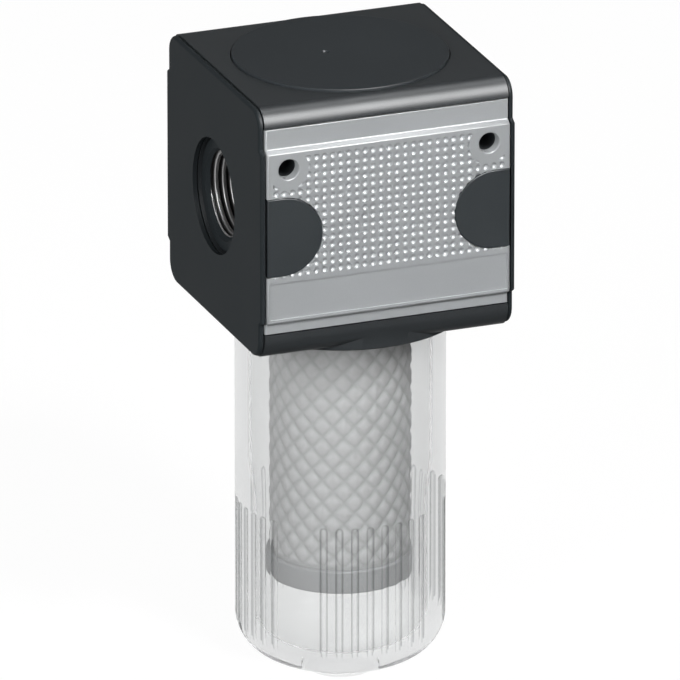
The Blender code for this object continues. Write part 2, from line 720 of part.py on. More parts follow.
def build_top_cap():
    """Round cap with a plug that closes the cored inlet chamber."""
    top = HEAD_TOP + TOP_CAP_RISE
    under = top - TOP_CAP_THICKNESS
    groove_top = under - (TOP_PLUG_LENGTH - TOP_SEAL_CORD) / 2 + GAP
    groove_low = groove_top - TOP_SEAL_CORD - 2 * GAP
    groove = TOP_PLUG_RADIUS - TOP_SEAL_CORD
    cap = turned(
        "top_cap",
        [
            (0.0, top),
            (TOP_CAP_RADIUS - TOP_CAP_EDGE, top),
            (TOP_CAP_RADIUS, top - TOP_CAP_EDGE),
            (TOP_CAP_RADIUS, under),
            (TOP_PLUG_RADIUS, under),
            (TOP_PLUG_RADIUS, groove_top),
            (groove, groove_top),
            (groove, groove_low),
            (TOP_PLUG_RADIUS, groove_low),
            (TOP_PLUG_RADIUS, under - TOP_PLUG_LENGTH),
            (0.0, under - TOP_PLUG_LENGTH),
        ],
        cover_plastic,
        MEDIUM_STEPS,
    )
    x, y = GATE_MARK_PLACE
    spans = [((x, y, top - GATE_MARK_DEPTH), (x, y, top + OVERCUT))]
    boolean(cap, rods("gate_mark", GATE_MARK_RADIUS, spans, STUD_STEPS))
    section = seal_profile(groove + GAP, TOP_SEAL_CORD - GAP, (groove_top + groove_low) / 2)
    turned("top_cap_seal", section, rubber, SMALL_STEPS)
    return cap


def bowl_end_profile(offset):
    """Lower end of the bowl: side, corner arc and dome arc, set inwards by an offset.

    The points run from the side to the axis.
    """
    radius = BOWL_RADIUS - BOWL_CORNER_RADIUS
    reach = BOWL_DOME_RADIUS - BOWL_CORNER_RADIUS
    rise = math.sqrt(reach * reach - radius * radius)
    corner_height = BOWL_POLE + BOWL_DOME_RADIUS - rise
    meet = math.asin(rise / reach)
    corner = arc((radius, corner_height), BOWL_CORNER_RADIUS - offset, 0.0, -meet, FILLET_STEPS)
    dome_centre = (0.0, corner_height + rise)
    dome = arc(dome_centre, BOWL_DOME_RADIUS - offset, -meet, -math.pi / 2, FILLET_STEPS - 1)
    points = corner + dome[1:]
    points[-1] = (0.0, points[-1][1])
    return points


def build_bowl():
    """Clear moulded bowl: neck with seal groove, fluted side, domed end with a small foot."""
    groove_top = NECK_TOP - BOWL_SEAL_DROP
    groove_low = groove_top - BOWL_SEAL_CORD - 2 * GAP
    groove = bowl_seal_inner_radius() - GAP
    outside = [
        (NECK_RADIUS - GAP, NECK_TOP),
        (NECK_RADIUS, NECK_TOP - GAP),
        (NECK_RADIUS, groove_top),
        (groove, groove_top),
        (groove, groove_low),
        (NECK_RADIUS, groove_low),
        (NECK_RADIUS, NECK_BOTTOM),
        (BOWL_RADIUS, NECK_BOTTOM),
    ]
    dome_edge = BOWL_DOME_RADIUS - math.sqrt(BOWL_DOME_RADIUS**2 - FOOT_RADIUS**2)
    lower = [(r, z) for r, z in bowl_end_profile(0.0) if r > FOOT_RADIUS + GAP]
    foot = [
        (FOOT_RADIUS, BOWL_POLE + dome_edge),
        (FOOT_RADIUS, BOWL_POLE - FOOT_DROP + FOOT_EDGE),
        (FOOT_RADIUS - FOOT_EDGE, BOWL_POLE - FOOT_DROP),
        (0.0, BOWL_POLE - FOOT_DROP),
    ]
    inside = list(reversed(bowl_end_profile(BOWL_LOWER_WALL)))
    thick_top = BOWL_POLE + FLUTE_TOP
    inside += [
        (BOWL_RADIUS - BOWL_LOWER_WALL, thick_top),
        (BOWL_RADIUS - BOWL_WALL, thick_top + WALL_TAPER_LENGTH),
        (BOWL_RADIUS - BOWL_WALL, NECK_TOP),
    ]
    # Two open runs from the axis out and back are joined at the neck's rim
    profile = inside + outside + lower + foot
    bowl = turned("bowl", profile, clear_plastic)

    spans = []
    orbit = BOWL_RADIUS - FLUTE_DEPTH + FLUTE_RADIUS
    for group in range(FLUTE_GROUPS):
        for flute in range(FLUTES_PER_GROUP):
            from_middle = FLUTE_PITCH * (flute - (FLUTES_PER_GROUP - 1) / 2)
            angle = math.tau * group / FLUTE_GROUPS + from_middle
            x = orbit * math.cos(angle)
            y = orbit * math.sin(angle)
            spans.append(((x, y, BOWL_POLE), (x, y, BOWL_POLE + FLUTE_TOP)))
    boolean(bowl, rods("grip_flutes", FLUTE_RADIUS, spans, FLUTE_SIDES))
    return bowl


def bowl_seal_inner_radius():
    """Inner radius of the O-ring on the bowl's neck."""
    return SOCKET_RADIUS - GAP - BOWL_SEAL_CORD


def build_bowl_seal():
    """O-ring in the groove of the bowl's neck."""
    middle = NECK_TOP - BOWL_SEAL_DROP - BOWL_SEAL_CORD / 2 - GAP
    section = seal_profile(bowl_seal_inner_radius(), BOWL_SEAL_CORD, middle)
    return turned("bowl_seal", section, rubber, MEDIUM_STEPS)


def build_element_caps():
    """Moulded end caps that hold the element's layers."""
    skirt = SLEEVE_SEAM_RADIUS + GAP
    floor = ELEMENT_BOTTOM + BOTTOM_CAP_FLOOR
    rim = ELEMENT_BOTTOM + BOTTOM_CAP_HEIGHT
    turned(
        "element_bottom_cap",
        [
            (0.0, floor),
            (skirt, floor),
            (skirt, rim),
            (ELEMENT_CAP_RADIUS - ELEMENT_CAP_EDGE, rim),
            (ELEMENT_CAP_RADIUS, rim - ELEMENT_CAP_EDGE),
            (ELEMENT_CAP_RADIUS, ELEMENT_BOTTOM + ELEMENT_CAP_EDGE),
            (ELEMENT_CAP_RADIUS - ELEMENT_CAP_EDGE, ELEMENT_BOTTOM),
            (0.0, ELEMENT_BOTTOM),
        ],
        cap_plastic,
        MEDIUM_STEPS,
    )
    seat = SPIGOT_RADIUS + SPIGOT_CLEARANCE
    turned(
        "element_top_cap",
        [
            (seat, ELEMENT_TOP),
            (ELEMENT_CAP_RADIUS - ELEMENT_CAP_EDGE, ELEMENT_TOP),
            (ELEMENT_CAP_RADIUS, ELEMENT_TOP - ELEMENT_CAP_EDGE),
            (ELEMENT_CAP_RADIUS, END_CAP_UNDERSIDE - TOP_END_CAP_SKIRT),
            (skirt, END_CAP_UNDERSIDE - TOP_END_CAP_SKIRT),
            (skirt, END_CAP_UNDERSIDE),
            (CORE_BORE_RADIUS, END_CAP_UNDERSIDE),
            (CORE_BORE_RADIUS, END_CAP_FLOOR_TOP),
            (seat, END_CAP_FLOOR_TOP),
        ],
        cap_plastic,
        MEDIUM_STEPS,
    )


def build_element_seal():
    """O-ring between the spigot and the element's top cap."""
    inner = SPIGOT_RADIUS + SPIGOT_CLEARANCE - GAP - ELEMENT_SEAL_CORD
    middle = SOCKET_ROOF - SPIGOT_LENGTH / 2
    return turned("element_seal", seal_profile(inner, ELEMENT_SEAL_CORD, middle), rubber, SMALL_STEPS)


def build_tube(name, inner, outer, mat):
    """One plain layer of the element between its end caps."""
    profile = [
        (outer, MEDIA_TOP),
        (outer, MEDIA_BOTTOM),
        (inner, MEDIA_BOTTOM),
        (inner, MEDIA_TOP),
    ]
    return turned(name, profile, mat, SMALL_STEPS)


def build_core_tube():
    """Slotted support tube in the middle of the element."""
    tube = build_tube("element_core_tube", CORE_BORE_RADIUS, CORE_RADIUS, core_plastic)
    tier_pitch = (MEDIA_TOP - MEDIA_BOTTOM) / CORE_SLOT_TIERS
    bm = bmesh.new()
    for tier in range(CORE_SLOT_TIERS):
        z = MEDIA_BOTTOM + tier_pitch * (tier + 0.5)
        for slot in range(CORE_SLOT_COUNT):
            angle = math.tau * (slot + 0.5) / CORE_SLOT_COUNT
            turn = Matrix.Rotation(angle, 4, "Z")
            middle = (CORE_RADIUS + CORE_BORE_RADIUS) / 2
            place = turn @ Matrix.Translation((middle, 0.0, z))
            reach = CORE_RADIUS - CORE_BORE_RADIUS + OVERCUT
            size = Matrix.Diagonal((reach, CORE_SLOT_WIDTH, CORE_SLOT_LENGTH, 1.0))
            bmesh.ops.create_cube(bm, size=1.0, matrix=place @ size)
    boolean(tube, from_bmesh("core_slots", bm))
    return tube


def build_sleeve():
    """Quilted outer sleeve: a lattice of diamond cells, each swelling between its seams."""
    columns = 2 * QUILT_CELLS_AROUND
    low = ELEMENT_BOTTOM + BOTTOM_CAP_HEIGHT + GAP
    high = END_CAP_UNDERSIDE - TOP_END_CAP_SKIRT - GAP
    rows = 2 * round((high - low) / QUILT_CELL_HEIGHT)
    step = (high - low) / rows
    bm = bmesh.new()
    bmesh.ops.create_circle(bm, cap_ends=False, segments=columns, radius=SLEEVE_SEAM_RADIUS)
    bmesh.ops.translate(bm, verts=bm.verts, vec=(0.0, 0.0, MEDIA_BOTTOM))
    ring = list(bm.edges)
    heights = [low + step * i for i in range(rows + 1)] + [MEDIA_TOP]
    level = MEDIA_BOTTOM
    for z in heights:
        grown = bmesh.ops.extrude_edge_only(bm, edges=ring)["geom"]
        verts = [item for item in grown if isinstance(item, bmesh.types.BMVert)]
        ring = [item for item in grown if isinstance(item, bmesh.types.BMEdge)]
        ring = [e for e in ring if all(v in verts for v in e.verts)]
        bmesh.ops.translate(bm, verts=verts, vec=(0.0, 0.0, z - level))
        level = z

    def is_seam(vert):
        """True where two seams of the lattice cross."""
        row = round((vert.co.z - low) / step)
        column = round(math.atan2(vert.co.y, vert.co.x) / (math.tau / columns))
        return (row + column) % 2 == 0

    quilted = [v for v in bm.verts if low - GAP / 2 < v.co.z < high + GAP / 2]
    edge_rows = [v for v in quilted if min(v.co.z - low, high - v.co.z) < step / 2]
    for vert in quilted:
        swell = SLEEVE_SEAM_RADIUS if is_seam(vert) or vert in edge_rows else SLEEVE_RADIUS
        vert.co.xy = vert.co.xy.normalized() * swell
    cells = [f for f in bm.faces if all(v in quilted for v in f.verts)]
    for face in cells:
        seams = [v for v in face.verts if is_seam(v)]
        bmesh.utils.face_split(face, seams[0], seams[1])
    bmesh.ops.holes_fill(bm, edges=[e for e in bm.edges if e.is_boundary], sides=0)
    sleeve = from_bmesh("element_outer_sleeve", bm, fleece)
    spans = [((0.0, 0.0, MEDIA_BOTTOM - OVERCUT), (0.0, 0.0, MEDIA_TOP + OVERCUT))]
    boolean(sleeve, rods("sleeve_bore", SLEEVE_BORE_RADIUS, spans, columns))
    return sleeve


def build_element():
    """The carbon element: caps, core tube, inner fleece, carbon bed and outer sleeve."""
    build_element_caps()
    build_element_seal()
    build_core_tube()
    build_tube("element_inner_fleece", FLEECE_BORE_RADIUS, FLEECE_RADIUS, fleece)
    build_tube("element_carbon_bed", CARBON_BORE_RADIUS, CARBON_RADIUS, carbon)
    build_sleeve()


build_head_body()
build_end_plate("inlet_end_plate", -1)
build_end_plate("outlet_end_plate", 1)
build_panel("front_panel", -1, True)
build_panel("rear_panel", 1, False)
for cover_y, row_word in ((-1, "front"), (1, "rear")):
    for cover_x, column_word in ((-1, "inlet"), (1, "outlet")):
        build_clamp_cover(f"{row_word}_{column_word}_clamp_cover", cover_x, cover_y)
for end, end_word in ((-1, "inlet"), (1, "outlet")):
    build_thread_bush(f"{end_word}_thread_bush", end)
    build_port_seal(f"{end_word}_port_seal", end)
build_top_cap()
build_element()
build_bowl()
build_bowl_seal()

for part in list(parts.objects):
    finish(part)
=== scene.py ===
import math

import bmesh
import bpy
from mathutils import Matrix, Vector


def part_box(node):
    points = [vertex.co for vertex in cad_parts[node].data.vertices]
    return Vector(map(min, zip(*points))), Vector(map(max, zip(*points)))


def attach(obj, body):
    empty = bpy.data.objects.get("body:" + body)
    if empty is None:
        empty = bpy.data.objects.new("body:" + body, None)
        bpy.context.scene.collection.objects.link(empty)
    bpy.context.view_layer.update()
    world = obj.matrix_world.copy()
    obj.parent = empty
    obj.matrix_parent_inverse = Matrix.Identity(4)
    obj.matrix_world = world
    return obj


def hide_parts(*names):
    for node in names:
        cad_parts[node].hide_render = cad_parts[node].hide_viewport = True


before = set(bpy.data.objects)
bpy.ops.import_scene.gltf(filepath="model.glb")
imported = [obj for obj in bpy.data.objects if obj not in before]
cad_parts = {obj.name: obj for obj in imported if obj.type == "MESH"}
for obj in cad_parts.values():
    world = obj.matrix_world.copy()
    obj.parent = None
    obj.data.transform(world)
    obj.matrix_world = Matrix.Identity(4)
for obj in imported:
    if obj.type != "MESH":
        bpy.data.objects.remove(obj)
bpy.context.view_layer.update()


# Head block
# Die-cast aluminium under a dark grey coat, in one piece with the collar round the bowl and the
# spigot inside it. It is bored for two ports, the bowl, the top cap and two long fixing screws.

SEAM = 0.0003
SOFT_EDGE = 0.00015
TOP_ROUNDING = 0.0044
BOTTOM_ROUNDING = 0.0050
ROUNDING_FACETS = 24
COLLAR_DROP = 0.0005
COLLAR_RADIUS = 0.0285
COLLAR_HEIGHT = 0.0055
SOCKET_ROOF = 0.0995
SPIGOT_RADIUS = 0.0086
SPIGOT_BORE = 0.0055
SPIGOT_LENGTH = 0.0085
CAP_GAP = 0.0002
CAP_PLUG_LENGTH = 0.0070
CAP_PLUG_RADIUS = 0.0117
CAP_SEAT_DEPTH = 0.0027
PORT_RECESS_RADIUS = 0.01318
FLANGE_THICKNESS = 0.0008
PASSAGE_RADIUS = 0.0080
PASSAGE_END = 0.0143
OUTLET_WALL_END = 0.0098
OUTLET_SLOT_END = 0.0128
FIXING_RADIUS = 0.00235
FIXING_SPREAD = 0.0236
FIXING_RISE = 0.01573
PANEL_STEP = 0.0013
PANEL_THICKNESS = 0.0012
PAST = 0.002
WIDE_FACETS = 256
TURNED_FACETS = 192
HOLE_FACETS = 64

block_low, block_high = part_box("head_body")
panel_low, panel_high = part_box("front_panel")
plate_low, plate_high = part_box("inlet_end_plate")
bush_low, bush_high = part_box("inlet_thread_bush")
cap_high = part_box("top_cap")[1]
socket_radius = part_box("bowl_seal")[1].x + SEAM

port_height = (bush_low.z + bush_high.z) / 2
fixing_height = port_height + FIXING_RISE
half_width = abs(plate_low.x)
half_depth = plate_high.y + SEAM
band_depth = half_depth - PANEL_STEP
panel_back = band_depth - PANEL_THICKNESS


def solid(name, bm, *finishes):
    """Turns a closed bmesh into an object with its finishes."""
    bmesh.ops.remove_doubles(bm, verts=bm.verts, dist=0.000001)
    bmesh.ops.recalc_face_normals(bm, faces=bm.faces)
    mesh = bpy.data.meshes.new(name)
    bm.to_mesh(mesh)
    bm.free()
    for finish in finishes:
        mesh.materials.append(finish)
    piece = bpy.data.objects.new(name, mesh)
    bpy.context.scene.collection.objects.link(piece)
    return piece


def carve(piece, bm, operation="DIFFERENCE"):
    """Cuts a bmesh out of a piece, or joins it on."""
    tool = solid("tool", bm)
    cut = piece.modifiers.new("cut", "BOOLEAN")
    cut.operation = operation
    cut.solver = "EXACT"
    cut.object = tool
    bpy.context.view_layer.update()
    evaluated = piece.evaluated_get(bpy.context.evaluated_depsgraph_get())
    mesh = bpy.data.meshes.new_from_object(evaluated)
    piece.modifiers.clear()
    mesh.name = piece.name
    piece.data = mesh
    bpy.data.objects.remove(tool)


def turned_copy(piece, name, turn):
    """A second piece of the same shape, turned or mirrored to its own place."""
    mesh = piece.data.copy()
    mesh.name = name
    mesh.transform(turn)
    if turn.determinant() < 0:
        mesh.flip_normals()
    twin = bpy.data.objects.new(name, mesh)
    bpy.context.scene.collection.objects.link(twin)
    return twin


def smooth(piece, angle=32):
    """Shades round faces smooth and keeps edges crisp."""
    mesh = piece.data
    mesh.shade_smooth()
    mesh.set_sharp_from_angle(angle=math.radians(angle))
    for polygon in mesh.polygons:
        if max(abs(part) for part in polygon.normal) > 0.99999:
            polygon.use_smooth = False


def fit(piece, body, slot, *nodes):
    """Sets a piece on its body and in place of the nodes that it stands for; the slot is not used.
    """
    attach(piece, body)
    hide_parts(*nodes)


def cuboid(low, high):
    """A box between two corners."""
    bm = bmesh.new()
    bmesh.ops.create_cube(bm, size=1.0)
    low, high = Vector(low), Vector(high)
    bmesh.ops.scale(bm, vec=high - low, verts=bm.verts)
    bmesh.ops.translate(bm, vec=(high + low) / 2, verts=bm.verts)
    return bm


def rod(radius, start, end, facets=96, tip=None):
    """A round rod, or a cone where it has a tip radius, between two points."""
    bm = bmesh.new()
    start, end = Vector(start), Vector(end)
    turn = (end - start).to_track_quat("Z", "Y").to_matrix().to_4x4()
    bmesh.ops.create_cone(
        bm, cap_ends=True, segments=facets, radius1=radius, radius2=radius if tip is None else tip,
        depth=(end - start).length, matrix=Matrix.Translation((start + end) / 2) @ turn,
    )
    return bm


def arc(centre, radius, start, end, steps):
    """Points of an arc between two angles in degrees."""
    angles = [math.radians(start + (end - start) * i / steps) for i in range(steps + 1)]
    return [(centre[0] + radius * math.cos(a), centre[1] + radius * math.sin(a)) for a in angles]


def lathe(profile, facets, axis="Z", centre=(0.0, 0.0, 0.0)):
    """Spins (radius, place along the axis) points right round Z, or round X from the -X side."""
    bm = bmesh.new()
    verts = [bm.verts.new((radius, 0.0, along)) for radius, along in profile]
    edges = [bm.edges.new(pair) for pair in zip(verts, verts[1:])]
    if profile[0][0] > 0.0:
        edges.append(bm.edges.new((verts[-1], verts[0])))
    bmesh.ops.spin(
        bm, geom=verts + edges, cent=(0.0, 0.0, 0.0), axis=(0.0, 0.0, 1.0), dvec=(0.0, 0.0, 0.0),
        angle=math.tau, steps=facets, use_merge=True, use_duplicate=False,
    )
    bmesh.ops.remove_doubles(bm, verts=bm.verts, dist=0.000001)
    if axis == "X":
        turn = Matrix.Rotation(-math.pi / 2, 3, "Y")
        bmesh.ops.rotate(bm, cent=(0.0, 0.0, 0.0), matrix=turn, verts=bm.verts)
    bmesh.ops.translate(bm, vec=centre, verts=bm.verts)
    return bm


def prism(outline, axis, low, high):
    """Extrudes an outline of (y, z) points along X, or of (x, z) points along Y."""
    bm = bmesh.new()
    along_x = axis == "X"
    corners = [bm.verts.new((low, a, b) if along_x else (a, low, b)) for a, b in outline]
    face = bm.faces.new(corners)
    grown = bmesh.ops.extrude_face_region(bm, geom=[face])
    far = [item for item in grown["geom"] if isinstance(item, bmesh.types.BMVert)]
    travel = (high - low, 0.0, 0.0) if along_x else (0.0, high - low, 0.0)
    bmesh.ops.translate(bm, verts=far, vec=travel)
    bmesh.ops.recalc_face_normals(bm, faces=bm.faces)
    return bm


def round_over(bm, wanted, radius, facets):
    """Rounds the edges between whose two ends a test holds."""
    edges = [edge for edge in bm.edges if wanted(edge.verts[0].co, edge.verts[1].co)]
    bmesh.ops.bevel(
        bm, geom=edges, offset=radius, offset_type="OFFSET", segments=facets, profile=0.5,
        affect="EDGES", clamp_overlap=True, material=-1,
    )


def grain(name, colour, spread, roughness, scale=2600, bump=0.000010, metallic=0.0, specular=0.15):
    """A finish with a fine grain and soft broad clouds in its colour, sheen and surface."""
    finish = bpy.data.materials.new(name)
    finish.use_nodes = True
    nodes, links = finish.node_tree.nodes, finish.node_tree.links
    shader = nodes["Principled BSDF"]
    shader.inputs["Metallic"].default_value = metallic
    shader.inputs["Specular IOR Level"].default_value = specular
    place = nodes.new("ShaderNodeTexCoord")
    fine = nodes.new("ShaderNodeTexNoise")
    fine.inputs["Scale"].default_value = scale
    fine.inputs["Detail"].default_value = 3.0
    broad = nodes.new("ShaderNodeTexNoise")
    broad.inputs["Scale"].default_value = 60.0
    broad.inputs["Detail"].default_value = 2.0
    both = nodes.new("ShaderNodeMix")
    both.inputs["Factor"].default_value = 0.5
    ramp = nodes.new("ShaderNodeValToRGB")
    ramp.color_ramp.elements[0].position = 0.3
    ramp.color_ramp.elements[1].position = 0.7
    ramp.color_ramp.elements[0].color = (*(part * (1 - spread) for part in colour), 1.0)
    ramp.color_ramp.elements[1].color = (*(part * (1 + spread) for part in colour), 1.0)
    sheen = nodes.new("ShaderNodeMapRange")
    sheen.inputs["To Min"].default_value = roughness - 0.06
    sheen.inputs["To Max"].default_value = roughness + 0.06
    relief = nodes.new("ShaderNodeBump")
    relief.inputs["Strength"].default_value = 1.0
    relief.inputs["Distance"].default_value = bump
    links.new(place.outputs["Object"], fine.inputs["Vector"])
    links.new(place.outputs["Object"], broad.inputs["Vector"])
    links.new(fine.outputs["Fac"], both.inputs["A"])
    links.new(broad.outputs["Fac"], both.inputs["B"])
    links.new(both.outputs["Result"], ramp.inputs["Fac"])
    links.new(ramp.outputs["Color"], shader.inputs["Base Color"])
    links.new(broad.outputs["Fac"], sheen.inputs["Value"])
    links.new(sheen.outputs["Result"], shader.inputs["Roughness"])
    links.new(fine.outputs["Fac"], relief.inputs["Height"])
    links.new(relief.outputs["Normal"], shader.inputs["Normal"])
    return finish


dark_coat = grain("dark_coat", (0.031, 0.035, 0.038), 0.08, 0.40, specular=0.035)

bm = cuboid(
    (block_low.x, block_low.y, block_low.z + COLLAR_DROP),
    (block_high.x, block_high.y, block_high.z),
)
round_over(
    bm, lambda a, b: abs(a.x - b.x) > PAST and a.z > port_height, TOP_ROUNDING, ROUNDING_FACETS
)
round_over(
    bm, lambda a, b: abs(a.x - b.x) > PAST and b.z < block_low.z + PAST, BOTTOM_ROUNDING,
    ROUNDING_FACETS,
)
head = solid("head_block", bm, dark_coat)

collar_top = block_low.z + COLLAR_HEIGHT
carve(head, lathe([
    (0.0, collar_top),
    (COLLAR_RADIUS, collar_top),
    (COLLAR_RADIUS, block_low.z + SEAM),
    (COLLAR_RADIUS - SEAM, block_low.z),
    (0.0, block_low.z),
], WIDE_FACETS), "UNION")

for side in (-1, 1):
    near, far = sorted((side * (panel_back - SEAM), side * (half_depth + PAST)))
    carve(head, cuboid(
        (block_low.x - PAST, near, panel_low.z - SEAM),
        (block_high.x + PAST, far, panel_high.z + SEAM),
    ))

spigot_end = SOCKET_ROOF - SPIGOT_LENGTH
carve(head, lathe([
    (0.0, spigot_end),
    (SPIGOT_RADIUS - SEAM, spigot_end),
    (SPIGOT_RADIUS, spigot_end + SEAM),
    (SPIGOT_RADIUS, SOCKET_ROOF),
    (socket_radius, SOCKET_ROOF),
    (socket_radius, block_low.z + 2 * SEAM),
    (socket_radius + 2 * SEAM, block_low.z - SEAM),
    (0.0, block_low.z - SEAM),
], TURNED_FACETS))

recess_floor = cap_high.z - CAP_SEAT_DEPTH
plug_radius = CAP_PLUG_RADIUS + SEAM
carve(head, lathe([
    (0.0, cap_high.z + PAST),
    (cap_high.x + CAP_GAP, cap_high.z + PAST),
    (cap_high.x + CAP_GAP, recess_floor),
    (plug_radius, recess_floor),
    (plug_radius, recess_floor - CAP_PLUG_LENGTH - SEAM),
    (PASSAGE_RADIUS, recess_floor - CAP_PLUG_LENGTH - SEAM),
    (PASSAGE_RADIUS, port_height - PASSAGE_RADIUS / 2),
    (SPIGOT_BORE, port_height - PASSAGE_RADIUS),
    (SPIGOT_BORE, spigot_end - PAST),
    (0.0, spigot_end - PAST),
], TURNED_FACETS))

bush_face = abs(bush_low.x)
bush_back = abs(bush_high.x)
bush_radius = (bush_high.z - bush_low.z) / 2
for side, end in ((-1, 0.0), (1, OUTLET_WALL_END)):
    bore = lathe([
        (0.0, half_width + PAST),
        (PORT_RECESS_RADIUS, half_width + PAST),
        (PORT_RECESS_RADIUS, bush_face - FLANGE_THICKNESS),
        (bush_radius + SEAM, bush_face - FLANGE_THICKNESS),
        (bush_radius + SEAM, PASSAGE_END),
        (PASSAGE_RADIUS, PASSAGE_END),
        (PASSAGE_RADIUS, end),
        (0.0, end),
    ], TURNED_FACETS, "X", (0.0, 0.0, port_height))
    if side > 0:
        bmesh.ops.transform(bore, matrix=Matrix.Rotation(math.pi, 4, "Z"), verts=bore.verts)
    carve(head, bore)

carve(head, cuboid(
    (OUTLET_WALL_END, SEAM - PASSAGE_RADIUS, SOCKET_ROOF - PAST),
    (OUTLET_SLOT_END, PASSAGE_RADIUS - SEAM, port_height),
))
for side in (-1, 1):
    start = Vector((side * FIXING_SPREAD, -half_depth - PAST, fixing_height))
    carve(head, rod(FIXING_RADIUS, start, start * Vector((1, -1, 1)), HOLE_FACETS))
smooth(head)
fit(head, "head", "coated_metal", "head_body")


# End plates
# Thin moulded covers over both ends of the block, with the stepped outline of its panels, an edge
# rounded all round, and the hole for the port.

UPPER_BAND = 0.0046
LOWER_BAND = 0.0022
LEDGE = 0.0008
PLATE_THICKNESS = 0.0010
PLATE_EDGE = 0.0007

raised_top = panel_high.z - UPPER_BAND - LEDGE
raised_bottom = panel_low.z + LOWER_BAND + LEDGE
dark_moulding = grain(
    "dark_moulding", (0.025, 0.030, 0.033), 0.08, 0.42, scale=3400, specular=0.012
)

half = band_depth - SEAM
top = block_high.z - SEAM
bottom = block_low.z + COLLAR_DROP + SEAM
upper = TOP_ROUNDING - SEAM
lower = BOTTOM_ROUNDING - SEAM
outline = arc((-half + upper, top - upper), upper, 90, 180, 16)
outline += [(-half, raised_top + LEDGE), (-half_depth + SEAM, raised_top)]
outline += [(-half_depth + SEAM, raised_bottom), (-half, raised_bottom - LEDGE)]
outline += arc((-half + lower, bottom + lower), lower, 180, 270, 16)
outline += [(-y, z) for y, z in reversed(outline)]
bm = prism(outline, "X", -half_width, -half_width + PLATE_THICKNESS)
round_over(bm, lambda a, b: max(a.x, b.x) < -half_width + SOFT_EDGE, PLATE_EDGE, 6)
inlet_plate = solid("inlet_plate", bm, dark_moulding)
carve(inlet_plate, rod(
    PORT_RECESS_RADIUS, (-half_width - PAST, 0.0, port_height),
    (-half_width + PAST, 0.0, port_height), TURNED_FACETS,
))
half_turn = Matrix.Rotation(math.pi, 4, "Z")
outlet_plate = turned_copy(inlet_plate, "outlet_plate", half_turn)
smooth(inlet_plate)
smooth(outlet_plate)
fit(inlet_plate, "head", "end_plate_plastic", "inlet_end_plate")
fit(outlet_plate, "head", "end_plate_plastic", "outlet_end_plate")


# Front and rear panels
# Silver painted mouldings clipped into the block. Each has an upper and a lower band, a sloped
# ledge at both, and a raised zone full of round dimples over an empty label recess.

END_CHAMFER = 0.0005
LABEL_HEIGHT = 0.0092
LABEL_MARGIN = 0.0007
LABEL_DEPTH = 0.0003
DIMPLE_PITCH = 0.0019
DIMPLE_RADIUS = 0.00078
DIMPLE_DEPTH = 0.00050
DIMPLE_BRIM = 5
DIMPLE_LEVELS = 5
DIMPLE_FACETS = 18
DIMPLE_ROWS = 15
DIMPLES_BESIDE_MIDDLE = 14
DIMPLES_UNDER_LEDGE = 0.0008
PAD_RADIUS = 0.0047
HOLE_EDGE = 0.0002
COVER_RADIUS = 0.0091
COVER_STRAIGHT = 0.0039

silver_paint = grain(
    "silver_paint", (0.365, 0.380, 0.390), 0.03, 0.40, scale=5200, bump=0.000004, specular=0.10
)

bm = prism([
    (-panel_back, panel_high.z),
    (-band_depth, panel_high.z),
    (-band_depth, raised_top + LEDGE),
    (-half_depth, raised_top),
    (-half_depth, raised_bottom),
    (-band_depth, raised_bottom - LEDGE),
    (-band_depth, panel_low.z),
    (-panel_back, panel_low.z),
], "X", block_low.x, block_high.x)
front_of_band = -band_depth + SOFT_EDGE
round_over(
    bm, lambda a, b: abs(a.x - b.x) < SEAM and max(a.y, b.y) < front_of_band, END_CHAMFER, 2
)
round_over(
    bm, lambda a, b: abs(a.x - b.x) > PAST and max(a.y, b.y) < front_of_band, SOFT_EDGE, 3
)
front_panel = solid("front_panel_shell", bm, silver_paint)

label_edge = block_high.x - LABEL_MARGIN
carve(front_panel, cuboid(
    (-label_edge, -half_depth - PAST, raised_bottom + LABEL_MARGIN),
    (label_edge, -half_depth + LABEL_DEPTH, raised_bottom + LABEL_HEIGHT),
))

# Each dimple is a shallow piece of a sphere, which starts a little above the face
ball = (DIMPLE_RADIUS**2 + DIMPLE_DEPTH**2) / (2 * DIMPLE_DEPTH)
brim = math.acos((ball - DIMPLE_DEPTH) / ball) + math.radians(DIMPLE_BRIM)
bm = bmesh.new()
for row in range(DIMPLE_ROWS):
    z = raised_top - DIMPLES_UNDER_LEDGE - (row + 0.5) * DIMPLE_PITCH
    for column in range(-DIMPLES_BESIDE_MIDDLE, DIMPLES_BESIDE_MIDDLE + 1):
        x = column * DIMPLE_PITCH
        tip = bm.verts.new((x, -half_depth + DIMPLE_DEPTH, z))
        rings = []
        for level in range(1, DIMPLE_LEVELS + 1):
            lean = brim * level / DIMPLE_LEVELS
            y = -half_depth + DIMPLE_DEPTH - ball * (1 - math.cos(lean))
            reach = ball * math.sin(lean)
            turns = [math.tau * i / DIMPLE_FACETS for i in range(DIMPLE_FACETS)]
            rings.append([
                bm.verts.new((x + reach * math.cos(a), y, z + reach * math.sin(a)))
                for a in turns
            ])
        for i in range(DIMPLE_FACETS):
            j = (i + 1) % DIMPLE_FACETS
            bm.faces.new((tip, rings[0][i], rings[0][j]))
            for inner, outer in zip(rings, rings[1:]):
                bm.faces.new((inner[i], outer[i], outer[j], inner[j]))
        bm.faces.new(rings[-1])
field = solid("dimple_field", bm)
for side in (-1, 1):
    start = Vector((side * FIXING_SPREAD, -half_depth - PAST, fixing_height))
    carve(field, rod(PAD_RADIUS, start, start + Vector((0.0, 2 * PAST, 0.0)), 96))
bm = bmesh.new()
bm.from_mesh(field.data)
bpy.data.objects.remove(field)
carve(front_panel, bm)

